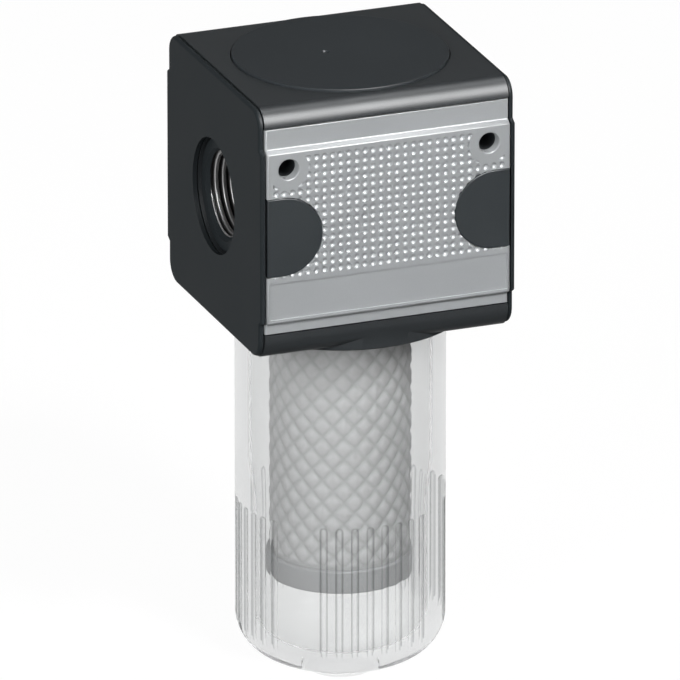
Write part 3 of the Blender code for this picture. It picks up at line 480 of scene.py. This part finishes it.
cover_centre = block_high.x - COVER_STRAIGHT
for side in (-1, 1):
    reach = COVER_RADIUS + SEAM / 2
    bow = arc((cover_centre, port_height), reach, 90, 270, HOLE_FACETS)
    notch = [(block_high.x + PAST, port_height + reach)] + bow
    notch += [(block_high.x + PAST, port_height - reach)]
    notch = [(side * x, z) for x, z in notch]
    carve(front_panel, prism(notch, "Y", -half_depth - PAST, -panel_back + PAST))
    hole = Vector((side * FIXING_SPREAD, -half_depth, fixing_height))
    inward = Vector((0.0, PAST, 0.0))
    carve(front_panel, rod(FIXING_RADIUS, hole - inward, hole + 3 * inward, HOLE_FACETS))
    edge = Vector((0.0, HOLE_EDGE, 0.0))
    carve(front_panel, rod(
        FIXING_RADIUS + 2 * HOLE_EDGE, hole - edge, hole + edge, HOLE_FACETS, tip=FIXING_RADIUS
    ))
rear_panel = turned_copy(front_panel, "rear_panel_shell", half_turn)
smooth(front_panel)
smooth(rear_panel)
fit(front_panel, "head", "silver_panel", "front_panel")
fit(rear_panel, "head", "silver_panel", "rear_panel")


# Clamp covers
# Dark half-round mouldings pressed into the panels' notches, flush with the raised zones. They
# hide the seats for the clamps that join neighbouring modules.

COVER_EDGE = 0.0002

cover_plastic = grain(
    "cover_plastic", (0.036, 0.042, 0.046), 0.08, 0.40, scale=3400, specular=0.035
)

outer = block_high.x - SOFT_EDGE
outline = [(outer, port_height + COVER_RADIUS)]
outline += arc((cover_centre, port_height), COVER_RADIUS, 90, 270, HOLE_FACETS)
outline += [(outer, port_height - COVER_RADIUS)]
bm = prism([(-x, z) for x, z in outline], "Y", -half_depth, -panel_back)
round_over(bm, lambda a, b: max(a.y, b.y) < -half_depth + SOFT_EDGE, COVER_EDGE, 3)
front_inlet_cover = solid("front_inlet_cover", bm, cover_plastic)
mirror_x = Matrix.Scale(-1, 4, (1.0, 0.0, 0.0))
mirror_y = Matrix.Scale(-1, 4, (0.0, 1.0, 0.0))
covers = {
    "front_inlet": front_inlet_cover,
    "front_outlet": turned_copy(front_inlet_cover, "front_outlet_cover", mirror_x),
    "rear_inlet": turned_copy(front_inlet_cover, "rear_inlet_cover", mirror_y),
    "rear_outlet": turned_copy(front_inlet_cover, "rear_outlet_cover", half_turn),
}
for place, cover in covers.items():
    smooth(cover)
    fit(cover, "head", "clamp_cover_plastic", f"{place}_clamp_cover")


# Top cap
# Moulded disc in the block's top, on a plug that closes the chamber over the element. It has a
# small sunk gate mark beside its middle.

CAP_THICKNESS = 0.0024
CAP_EDGE = 0.0003
PLUG_GROOVE_DEPTH = 0.0016
PLUG_GROOVE_WIDTH = 0.0022
GATE_MARK = (-0.0031, 0.0012)
GATE_RADIUS = 0.0010
GATE_FACETS = 48
GATE_DEPTH = 0.0004

cap_moulding = grain("cap_moulding", (0.034, 0.039, 0.043), 0.08, 0.42, scale=3400, specular=0.02)

under = cap_high.z - CAP_THICKNESS
groove_middle = under - CAP_PLUG_LENGTH / 2
top_cap = solid("top_cap_disc", lathe([
    (0.0, cap_high.z),
    *reversed(arc((cap_high.x - CAP_EDGE, cap_high.z - CAP_EDGE), CAP_EDGE, 0, 90, 4)),
    (cap_high.x, under),
    (CAP_PLUG_RADIUS, under),
    (CAP_PLUG_RADIUS, groove_middle + PLUG_GROOVE_WIDTH / 2),
    (CAP_PLUG_RADIUS - PLUG_GROOVE_DEPTH, groove_middle + PLUG_GROOVE_WIDTH / 2),
    (CAP_PLUG_RADIUS - PLUG_GROOVE_DEPTH, groove_middle - PLUG_GROOVE_WIDTH / 2),
    (CAP_PLUG_RADIUS, groove_middle - PLUG_GROOVE_WIDTH / 2),
    (CAP_PLUG_RADIUS, under - CAP_PLUG_LENGTH + CAP_EDGE),
    (CAP_PLUG_RADIUS - CAP_EDGE, under - CAP_PLUG_LENGTH),
    (0.0, under - CAP_PLUG_LENGTH),
], WIDE_FACETS), cap_moulding)
gate = Vector((*GATE_MARK, cap_high.z))
sink = Vector((0.0, 0.0, GATE_DEPTH))
carve(top_cap, rod(
    GATE_RADIUS * 0.7, gate - sink, gate + sink, GATE_FACETS, tip=GATE_RADIUS * 1.3
))
smooth(top_cap)
fit(top_cap, "head", "top_cap_plastic", "top_cap")


# Port bushes
# Turned metal bushes, dark on the flange and at the mouth, with a bare G 1/2 pipe thread inside.
# It is cut as a true helix, with painted shade darkening its valleys, and its mouth is chamfered
# for the fitting.

FLANGE_RADIUS = 0.01285
THREAD_MAJOR = 0.01048
THREAD_MINOR = 0.00932
THREAD_PITCH = 0.001814
SAMPLES_PER_PITCH = 16
THREAD_FACETS = 128
CREST_SHARE = 0.38
FLANK_SHARE = 0.50

bare_metal = grain(
    "bare_metal", (0.42, 0.42, 0.42), 0.06, 0.42, scale=4200, bump=0.000003, metallic=1.0
)
nodes, links = bare_metal.node_tree.nodes, bare_metal.node_tree.links
# The thread's valleys are painted near black, as painted shade in them
root = nodes.new("ShaderNodeAttribute")
root.attribute_name = "root"
painted_root_shade = nodes.new("ShaderNodeMix")
painted_root_shade.data_type = "RGBA"
painted_root_shade.inputs["B"].default_value = (0.02, 0.02, 0.02, 1.0)
links.new(root.outputs["Fac"], painted_root_shade.inputs["Factor"])
links.new(nodes["Color Ramp"].outputs["Color"], painted_root_shade.inputs["A"])
links.new(painted_root_shade.outputs["Result"], nodes["Principled BSDF"].inputs["Base Color"])

length = bush_face - bush_back
sample = THREAD_PITCH / SAMPLES_PER_PITCH
samples = int(length / sample)
profile = [(THREAD_MINOR, -sample * i) for i in range(samples, 0, -1)]
profile += [
    (THREAD_MAJOR, 0.0),
    (FLANGE_RADIUS - SOFT_EDGE, 0.0),
    (FLANGE_RADIUS, -SOFT_EDGE),
    (FLANGE_RADIUS, -FLANGE_THICKNESS + SOFT_EDGE / 2),
    (bush_radius, -FLANGE_THICKNESS + SOFT_EDGE / 2),
    (bush_radius, -length),
    (THREAD_MINOR, -length),
]
bm = lathe(profile, THREAD_FACETS)
for vert in bm.verts:
    radius = vert.co.xy.length
    if radius > THREAD_MAJOR + SOFT_EDGE:
        continue
    turns = vert.co.z / THREAD_PITCH + math.atan2(vert.co.y, vert.co.x) / math.tau
    wave = 1 - abs(2 * (turns % 1.0) - 1)
    wave = min(max((wave - CREST_SHARE) / FLANK_SHARE, 0.0), 1.0)
    cut = THREAD_MINOR + (THREAD_MAJOR - THREAD_MINOR) * wave * wave * (3 - 2 * wave)
    chamfer = THREAD_MAJOR + vert.co.z
    vert.co.xy = vert.co.xy.normalized() * max(cut, chamfer)
inlet_bush = solid("inlet_bush", bm, dark_moulding, bare_metal)
bush_mesh = inlet_bush.data
depths = [
    min((vert.co.xy.length - THREAD_MINOR) / (THREAD_MAJOR - THREAD_MINOR), 1.0)
    for vert in bush_mesh.vertices
]
bush_mesh.attributes.new("root", "FLOAT", "POINT").data.foreach_set("value", depths)
into_port = Matrix.Translation((-bush_face, 0.0, port_height))
bush_mesh.transform(into_port @ Matrix.Rotation(-math.pi / 2, 4, "Y"))
for polygon in bush_mesh.polygons:
    corners = [bush_mesh.vertices[i].co for i in polygon.vertices]
    widest = max(math.hypot(corner.y, corner.z - port_height) for corner in corners)
    in_thread = widest < THREAD_MAJOR + SOFT_EDGE
    polygon.material_index = int(in_thread and polygon.center.x > -bush_face + THREAD_PITCH / 2)
outlet_bush = turned_copy(inlet_bush, "outlet_bush", half_turn)
smooth(inlet_bush, 60)
smooth(outlet_bush, 60)
fit(inlet_bush, "head", "machined_metal", "inlet_thread_bush")
fit(outlet_bush, "head", "machined_metal", "outlet_thread_bush")


# O-rings
# Black rubber rings behind both bushes, on the cap's plug, on the spigot and on the bowl's neck.
# The last one rides down with the bowl.

PORT_CORD = 0.0016
CAP_CORD = 0.0013
SPIGOT_CORD = 0.0014
BOWL_CORD = 0.0018

rubber = grain("rubber", (0.018, 0.018, 0.019), 0.10, 0.55, scale=3000)


def seal(name, node, body, cord, axis):
    """A round-section ring in the place of a CAD seal."""
    low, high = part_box(node)
    middle = (low + high) / 2
    ring_radius = (high.y - low.y - cord) / 2
    section = arc((ring_radius, 0.0), cord / 2, 0, 360, 24)[:-1]
    ring = solid(name, lathe(section, 96, axis, middle), rubber)
    smooth(ring, 60)
    fit(ring, body, "seal_rubber", node)


seal("inlet_port_ring", "inlet_port_seal", "head", PORT_CORD, "X")
seal("outlet_port_ring", "outlet_port_seal", "head", PORT_CORD, "X")
seal("top_cap_ring", "top_cap_seal", "head", CAP_CORD, "Z")
seal("spigot_ring", "element_seal", "head", SPIGOT_CORD, "Z")
seal("bowl_neck_ring", "bowl_seal", "seal_ring", BOWL_CORD, "Z")


# Carbon element
# A slotted core tube, an inner fleece, a bed of carbon and a quilted sleeve of light grey fleece,
# held between two moulded caps. The upper cap is pushed onto the head's spigot.

ELEMENT_EDGE = 0.0006
BOTTOM_FLOOR = 0.0020
SKIRT_RADIUS = 0.01565
END_FLOOR = 0.0013
CORE_BORE = 0.0058
SPIGOT_SEAT = 0.0092
SLEEVE_BORE = 0.01465
SEAM_RADIUS = 0.01535
PILLOW_HEIGHT = 0.0006
QUILT_COLUMNS = 40
QUILT_ROWS = 22
SAMPLES_PER_CELL = 8
SEAM_FADE = 0.0010
SWELL_CURVE = 0.75

bottom_low, bottom_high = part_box("element_bottom_cap")
end_low, end_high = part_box("element_top_cap")
sleeve_low, sleeve_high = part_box("element_outer_sleeve")
cap_grey = grain("cap_grey", (0.20, 0.21, 0.215), 0.05, 0.50, scale=3400, specular=0.02)

rounded_top = arc(
    (bottom_high.x - ELEMENT_EDGE, bottom_high.z - ELEMENT_EDGE), ELEMENT_EDGE, 90, 0, 6
)
rounded_foot = arc(
    (bottom_high.x - ELEMENT_EDGE, bottom_low.z + ELEMENT_EDGE), ELEMENT_EDGE, 0, -90, 6
)
bottom_cap = solid("element_foot_cap", lathe([
    (0.0, bottom_low.z + BOTTOM_FLOOR),
    (SKIRT_RADIUS, bottom_low.z + BOTTOM_FLOOR),
    (SKIRT_RADIUS, bottom_high.z),
    *rounded_top,
    *rounded_foot,
    (0.0, bottom_low.z),
], TURNED_FACETS), cap_grey)
smooth(bottom_cap)
fit(bottom_cap, "head", "element_cap_plastic", "element_bottom_cap")

seat_floor = spigot_end - SEAM
end_under = seat_floor - END_FLOOR
end_cap = solid("element_head_cap", lathe([
    (SPIGOT_SEAT, end_high.z),
    *arc((end_high.x - ELEMENT_EDGE, end_high.z - ELEMENT_EDGE), ELEMENT_EDGE, 90, 0, 6),
    (end_high.x, end_low.z),
    (SKIRT_RADIUS, end_low.z),
    (SKIRT_RADIUS, end_under),
    (CORE_BORE, end_under),
    (CORE_BORE, seat_floor),
    (SPIGOT_SEAT, seat_floor),
], TURNED_FACETS), cap_grey)
smooth(end_cap)
fit(end_cap, "head", "element_cap_plastic", "element_top_cap")

quilt_low = bottom_high.z + SEAM
quilt_high = end_low.z - SEAM
step = (quilt_high - quilt_low) / QUILT_ROWS / SAMPLES_PER_CELL
levels = [quilt_high - step * i for i in range(QUILT_ROWS * SAMPLES_PER_CELL + 1)]
bm = lathe([
    (SEAM_RADIUS, sleeve_high.z),
    *((SEAM_RADIUS, z) for z in levels),
    (SEAM_RADIUS, sleeve_low.z),
    (SLEEVE_BORE, sleeve_low.z),
    (SLEEVE_BORE, sleeve_high.z),
], QUILT_COLUMNS * SAMPLES_PER_CELL)
sleeve = solid("quilted_sleeve", bm)
swells = []
for vert in sleeve.data.vertices:
    column = math.atan2(vert.co.y, vert.co.x) / math.tau * QUILT_COLUMNS
    row = (vert.co.z - quilt_low) / (quilt_high - quilt_low) * QUILT_ROWS
    swell = abs(math.sin(math.pi * (column + row) / 2) * math.sin(math.pi * (column - row) / 2))
    fade = min((vert.co.z - quilt_low) / SEAM_FADE, (quilt_high - vert.co.z) / SEAM_FADE, 1.0)
    swell = swell**SWELL_CURVE * max(fade, 0.0)
    if vert.co.xy.length > SEAM_RADIUS - SOFT_EDGE:
        vert.co.xy = vert.co.xy.normalized() * (SEAM_RADIUS + PILLOW_HEIGHT * swell)
    swells.append(swell)
sleeve.data.attributes.new("swell", "FLOAT", "POINT").data.foreach_set("value", swells)

quilt = bpy.data.materials.new("quilted_fleece")
quilt.use_nodes = True
nodes, links = quilt.node_tree.nodes, quilt.node_tree.links
shader = nodes["Principled BSDF"]
shader.inputs["Roughness"].default_value = 0.9
shader.inputs["Specular IOR Level"].default_value = 0.0
# The seams are painted darker than the pillows' middles, as painted shade in the creases between
# them
swell_value = nodes.new("ShaderNodeAttribute")
swell_value.attribute_name = "swell"
place = nodes.new("ShaderNodeTexCoord")
fibre = nodes.new("ShaderNodeTexNoise")
fibre.inputs["Scale"].default_value = 1800.0
fibre.inputs["Detail"].default_value = 4.0
height = nodes.new("ShaderNodeMath")
height.operation = "MULTIPLY_ADD"
height.inputs[1].default_value = 0.12
ramp = nodes.new("ShaderNodeValToRGB")
ramp.color_ramp.elements[0].position = 0.05
ramp.color_ramp.elements[0].color = (0.32, 0.33, 0.33, 1.0)
ramp.color_ramp.elements[1].position = 0.70
ramp.color_ramp.elements[1].color = (0.44, 0.45, 0.45, 1.0)
relief = nodes.new("ShaderNodeBump")
relief.inputs["Distance"].default_value = 0.00003
links.new(place.outputs["Object"], fibre.inputs["Vector"])
links.new(fibre.outputs["Fac"], height.inputs[0])
links.new(swell_value.outputs["Fac"], height.inputs[2])
links.new(height.outputs["Value"], ramp.inputs["Fac"])
links.new(ramp.outputs["Color"], shader.inputs["Base Color"])
links.new(fibre.outputs["Fac"], relief.inputs["Height"])
links.new(relief.outputs["Normal"], shader.inputs["Normal"])
sleeve.data.materials.append(quilt)
smooth(sleeve, 60)
fit(sleeve, "head", "element_sleeve", "element_outer_sleeve")

kept = {
    "element_core_tube": grain("core_white", (0.72, 0.72, 0.70), 0.03, 0.45),
    "element_inner_fleece": grain("inner_fleece", (0.62, 0.63, 0.63), 0.08, 0.90, bump=0.00004),
    "element_carbon_bed": grain("carbon", (0.015, 0.015, 0.016), 0.35, 0.75, 1500, 0.0002),
}
for node, finish in kept.items():
    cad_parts[node].material_slots[0].material = finish


# Bowl
# Clear moulded plastic, thicker in its lower part, with four groups of eight grip flutes, a domed
# end and a small foot. It screws into the head by its neck, which carries a seal.

CORNER_RADIUS = 0.0101
DOME_RADIUS = 0.0384
UPPER_WALL = 0.0036
LOWER_WALL = 0.0047
THICK_WALL_HEIGHT = 0.0418
TAPER_LENGTH = 0.0085
FOOT_RADIUS = 0.00835
FOOT_DROP = 0.0006
RIM_EDGE = 0.0003
NECK_STEP = 0.00035
GROOVE_DROP = 0.0014
FLUTES_PER_GROUP = 8
FLUTE_PITCH = 8.6
FLUTE_RADIUS = 0.00095
FLUTE_DEPTH = 0.00085
FLUTE_STEPS = 4
BESIDE_FLUTE = (2.7, 3.4)

bowl_low, bowl_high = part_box("bowl")
bowl_radius = bowl_high.x
pole = bowl_low.z + FOOT_DROP
corner_out = bowl_radius - CORNER_RADIUS
reach = DOME_RADIUS - CORNER_RADIUS
rise = math.sqrt(reach**2 - corner_out**2)
corner_height = pole + DOME_RADIUS - rise
meet = math.degrees(math.asin(rise / reach))


def bowl_end(inset):
    """The bowl's lower end from its side to its middle, set inwards."""
    corner = arc((corner_out, corner_height), CORNER_RADIUS - inset, 0, -meet, 30)
    dome = arc((0.0, corner_height + rise), DOME_RADIUS - inset, -meet, -90, 20)
    return corner + dome[1:-1] + [(0.0, dome[-1][1])]


neck_bottom = block_low.z - SEAM
groove_top = bowl_high.z - GROOVE_DROP
groove_low = groove_top - BOWL_CORD - 2 * SEAM
neck = bowl_radius - NECK_STEP
groove = socket_radius - 2 * SEAM - BOWL_CORD
flute_middle = THICK_WALL_HEIGHT - FLUTE_RADIUS
inside = list(reversed(bowl_end(LOWER_WALL)))
inside += [
    (bowl_radius - LOWER_WALL, THICK_WALL_HEIGHT),
    (bowl_radius - UPPER_WALL, THICK_WALL_HEIGHT + TAPER_LENGTH),
    (bowl_radius - UPPER_WALL, bowl_high.z - RIM_EDGE),
    (bowl_radius - UPPER_WALL + RIM_EDGE, bowl_high.z),
]
outside = [
    (neck - RIM_EDGE, bowl_high.z),
    (neck, bowl_high.z - RIM_EDGE),
    (neck, groove_top),
    (groove, groove_top),
    (groove, groove_low),
    (neck, groove_low),
    (neck, neck_bottom),
    (bowl_radius, neck_bottom),
    (bowl_radius, THICK_WALL_HEIGHT + FLUTE_RADIUS),
    *((bowl_radius, flute_middle + FLUTE_RADIUS * (1 - i / 8)) for i in range(9)),
]
lower_end = bowl_end(0.0)
foot = [
    *(point for point in lower_end if point[0] > FOOT_RADIUS + RIM_EDGE),
    (FOOT_RADIUS, pole + DOME_RADIUS - math.sqrt(DOME_RADIUS**2 - FOOT_RADIUS**2)),
    (FOOT_RADIUS, bowl_low.z + FOOT_DROP),
    (FOOT_RADIUS - FOOT_DROP, bowl_low.z),
    (0.0, bowl_low.z),
]

# Angles round the bowl, close together in the flutes and on their edges
orbit = bowl_radius - FLUTE_DEPTH + FLUTE_RADIUS
across = [-FLUTE_PITCH / 2, -BESIDE_FLUTE[1], -BESIDE_FLUTE[0]]
across += [
    math.degrees(math.asin(FLUTE_RADIUS * math.sin(math.radians(90 / FLUTE_STEPS * i)) / orbit))
    for i in range(-FLUTE_STEPS, FLUTE_STEPS + 1)
]
across += BESIDE_FLUTE
group = [
    FLUTE_PITCH * (flute - (FLUTES_PER_GROUP - 1) / 2) + offset
    for flute in range(FLUTES_PER_GROUP)
    for offset in across
]
plain = 90 - FLUTE_PITCH * FLUTES_PER_GROUP
group += [FLUTE_PITCH * FLUTES_PER_GROUP / 2 + plain * i / 8 for i in range(8)]
angles = [quarter * 90 + angle for quarter in range(4) for angle in group]

bm = lathe(inside + outside + foot, len(angles))
# How far each point lies out on a flute's side, which sets the painted shade there
flank = bm.verts.layers.float.new("flank")
for vert in bm.verts:
    radius = vert.co.xy.length
    if radius < RIM_EDGE:
        continue
    index = round(math.atan2(vert.co.y, vert.co.x) / math.tau * len(angles)) % len(angles)
    angle = math.radians(angles[index])
    place_in_group = (angles[index] + 45) % 90 - 45
    if abs(place_in_group) < FLUTE_PITCH * FLUTES_PER_GROUP / 2:
        off_flute = place_in_group % FLUTE_PITCH - FLUTE_PITCH / 2
        aside = orbit * math.sin(math.radians(off_flute))
        above = max(vert.co.z - flute_middle, 0.0)
        room = FLUTE_RADIUS**2 - aside**2 - above**2
        if room > 0.0 and radius > bowl_radius - 2 * FLUTE_DEPTH:
            entry = orbit * math.cos(math.radians(off_flute)) - math.sqrt(room)
            if entry < radius:
                radius = entry
                vert[flank] = min(math.hypot(aside, above) / FLUTE_RADIUS, 1.0)
    vert.co.xy = (radius * math.cos(angle), radius * math.sin(angle))
bowl = solid("clear_bowl_moulding", bm)

# The flutes' sides are painted darker, as painted shade along the flutes' edges. Lamp light and
# light off the element pass straight through.
clear = bpy.data.materials.new("clear_moulding")
clear.use_nodes = True
nodes, links = clear.node_tree.nodes, clear.node_tree.links
shader = nodes["Principled BSDF"]
shader.inputs["Transmission Weight"].default_value = 0.86
shader.inputs["Roughness"].default_value = 0.0
shader.inputs["IOR"].default_value = 1.03
shader.inputs["Specular IOR Level"].default_value = 0.0
shader.inputs["Coat Weight"].default_value = 0.4
shader.inputs["Coat Roughness"].default_value = 0.10
place = nodes.new("ShaderNodeTexCoord")
clouds = nodes.new("ShaderNodeTexNoise")
clouds.inputs["Scale"].default_value = 45.0
ramp = nodes.new("ShaderNodeValToRGB")
ramp.color_ramp.elements[0].color = (0.965, 0.97, 0.97, 1.0)
ramp.color_ramp.elements[1].color = (0.985, 0.99, 0.99, 1.0)
# The flank value darkens the flutes' sides towards their edges: painted shade
flank_value = nodes.new("ShaderNodeAttribute")
flank_value.attribute_name = "flank"
flank_shade_range = nodes.new("ShaderNodeMapRange")
flank_shade_range.inputs["From Min"].default_value = 0.30
flank_shade_range.inputs["From Max"].default_value = 0.85
painted_flank_shade = nodes.new("ShaderNodeMix")
painted_flank_shade.data_type = "RGBA"
painted_flank_shade.inputs["B"].default_value = (0.40, 0.41, 0.41, 1.0)
links.new(place.outputs["Object"], clouds.inputs["Vector"])
links.new(clouds.outputs["Fac"], ramp.inputs["Fac"])
links.new(flank_value.outputs["Fac"], flank_shade_range.inputs["Value"])
links.new(flank_shade_range.outputs["Result"], painted_flank_shade.inputs["Factor"])
links.new(ramp.outputs["Color"], painted_flank_shade.inputs["A"])
links.new(painted_flank_shade.outputs["Result"], shader.inputs["Base Color"])
rays = nodes.new("ShaderNodeLightPath")
see_through = nodes.new("ShaderNodeBsdfTransparent")
lets_lamps_in = nodes.new("ShaderNodeMixShader")
links.new(rays.outputs["Is Shadow Ray"], lets_lamps_in.inputs[0])
links.new(shader.outputs[0], lets_lamps_in.inputs[1])
links.new(see_through.outputs[0], lets_lamps_in.inputs[2])
lets_light_out = nodes.new("ShaderNodeMixShader")
links.new(rays.outputs["Is Diffuse Ray"], lets_light_out.inputs[0])
links.new(lets_lamps_in.outputs[0], lets_light_out.inputs[1])
links.new(see_through.outputs[0], lets_light_out.inputs[2])
haze = nodes.new("ShaderNodeVolumeAbsorption")
haze.inputs["Color"].default_value = (0.80, 0.805, 0.81, 1.0)
haze.inputs["Density"].default_value = 30.0
output = nodes["Material Output"]
links.new(lets_light_out.outputs[0], output.inputs["Surface"])
links.new(haze.outputs[0], output.inputs["Volume"])
bowl.data.materials.append(clear)
smooth(bowl, 40)
fit(bowl, "bowl", "clear_bowl", "bowl")


# White studio
# A white floor that keeps the shadow, an even white surround, and four lamps: a key from the front
# and above, a broad fill from the left, and two that are only mirrored, in the edges and ledges.

AIM = Vector((-0.000067, 0.0, 0.0777))
VIEW_AZIMUTH = -21
VIEW_ELEVATION = 21
VIEW_WIDTH = 0.15118
LENS = 900
SENSOR = 36
FLOOR_REACH = 6.0


def seen_or(material_tree, seen, mirrored, lit):
    """Strengths for what is seen, for what is mirrored, and for what only lights the object."""
    nodes, links = material_tree.nodes, material_tree.links
    rays = nodes.new("ShaderNodeLightPath")
    in_gloss = nodes.new("ShaderNodeMath")
    in_gloss.operation = "MULTIPLY"
    in_gloss.inputs[1].default_value = (mirrored - lit) / (seen - lit)
    links.new(rays.outputs["Is Glossy Ray"], in_gloss.inputs[0])
    total = rays.outputs["Is Camera Ray"]
    for other in (rays.outputs["Is Transmission Ray"], in_gloss.outputs["Value"]):
        either = nodes.new("ShaderNodeMath")
        either.operation = "MAXIMUM"
        links.new(total, either.inputs[0])
        links.new(other, either.inputs[1])
        total = either.outputs["Value"]
    strength = nodes.new("ShaderNodeMapRange")
    strength.inputs["To Min"].default_value = lit
    strength.inputs["To Max"].default_value = seen
    links.new(total, strength.inputs["Value"])
    return strength.outputs["Result"]


world = bpy.data.worlds.new("surround")
bpy.context.scene.world = world
world.use_nodes = True
background = world.node_tree.nodes["Background"]
background.inputs["Color"].default_value = (1.0, 1.0, 1.0, 1.0)
strength = seen_or(world.node_tree, seen=1.0, mirrored=0.35, lit=0.12)
world.node_tree.links.new(strength, background.inputs["Strength"])

bm = bmesh.new()
bmesh.ops.create_grid(bm, x_segments=1, y_segments=1, size=FLOOR_REACH)
bmesh.ops.translate(bm, vec=(0.0, 0.0, -SOFT_EDGE), verts=bm.verts)
floor = solid("floor", bm)
white = bpy.data.materials.new("white_floor")
white.use_nodes = True
shader = white.node_tree.nodes["Principled BSDF"]
shader.inputs["Base Color"].default_value = (0.08, 0.08, 0.08, 1.0)
shader.inputs["Roughness"].default_value = 1.0
shader.inputs["Specular IOR Level"].default_value = 0.0
shader.inputs["Emission Color"].default_value = (1.0, 1.0, 1.0, 1.0)
strength = seen_or(white.node_tree, seen=0.955, mirrored=0.93, lit=0.0)
white.node_tree.links.new(strength, shader.inputs["Emission Strength"])
floor.data.materials.append(white)


def lamp(name, direction, distance, size, watts, sheen_only=False):
    """A round lamp that shines at the object, or is only mirrored in its glossy surfaces."""
    light = bpy.data.lights.new(name, "AREA")
    light.shape = "DISK"
    light.energy = watts
    light.size = size
    holder = bpy.data.objects.new(name, light)
    holder.visible_transmission = False
    holder.visible_diffuse = not sheen_only
    direction = Vector(direction).normalized()
    holder.location = AIM + direction * distance
    holder.rotation_euler = direction.to_track_quat("Z", "Y").to_euler()
    bpy.context.scene.collection.objects.link(holder)


lamp("key", (0.17, -0.69, 0.70), distance=1.2, size=0.22, watts=7.9)
lamp("fill", (-0.74, -0.59, 0.32), distance=1.4, size=0.80, watts=12.8)
lamp("edge_sheen", (0.16, -0.73, 0.66), distance=1.2, size=1.0, watts=620.0, sheen_only=True)
lamp("ledge_sheen", (0.33, 0.08, 0.94), distance=1.2, size=0.35, watts=26.0, sheen_only=True)

azimuth = math.radians(VIEW_AZIMUTH)
elevation = math.radians(VIEW_ELEVATION)
towards_eye = Vector((
    math.sin(azimuth) * math.cos(elevation),
    -math.cos(azimuth) * math.cos(elevation),
    math.sin(elevation),
))
view = bpy.data.cameras.new("view")
view.sensor_width = SENSOR
view.lens = LENS
view.clip_end = 50.0
camera = bpy.data.objects.new("view", view)
camera.location = AIM + towards_eye * (LENS / SENSOR * VIEW_WIDTH)
camera.rotation_euler = towards_eye.to_track_quat("Z", "Y").to_euler()
bpy.context.scene.collection.objects.link(camera)
bpy.context.scene.camera = camera
bpy.context.scene.view_settings.view_transform = "Standard"
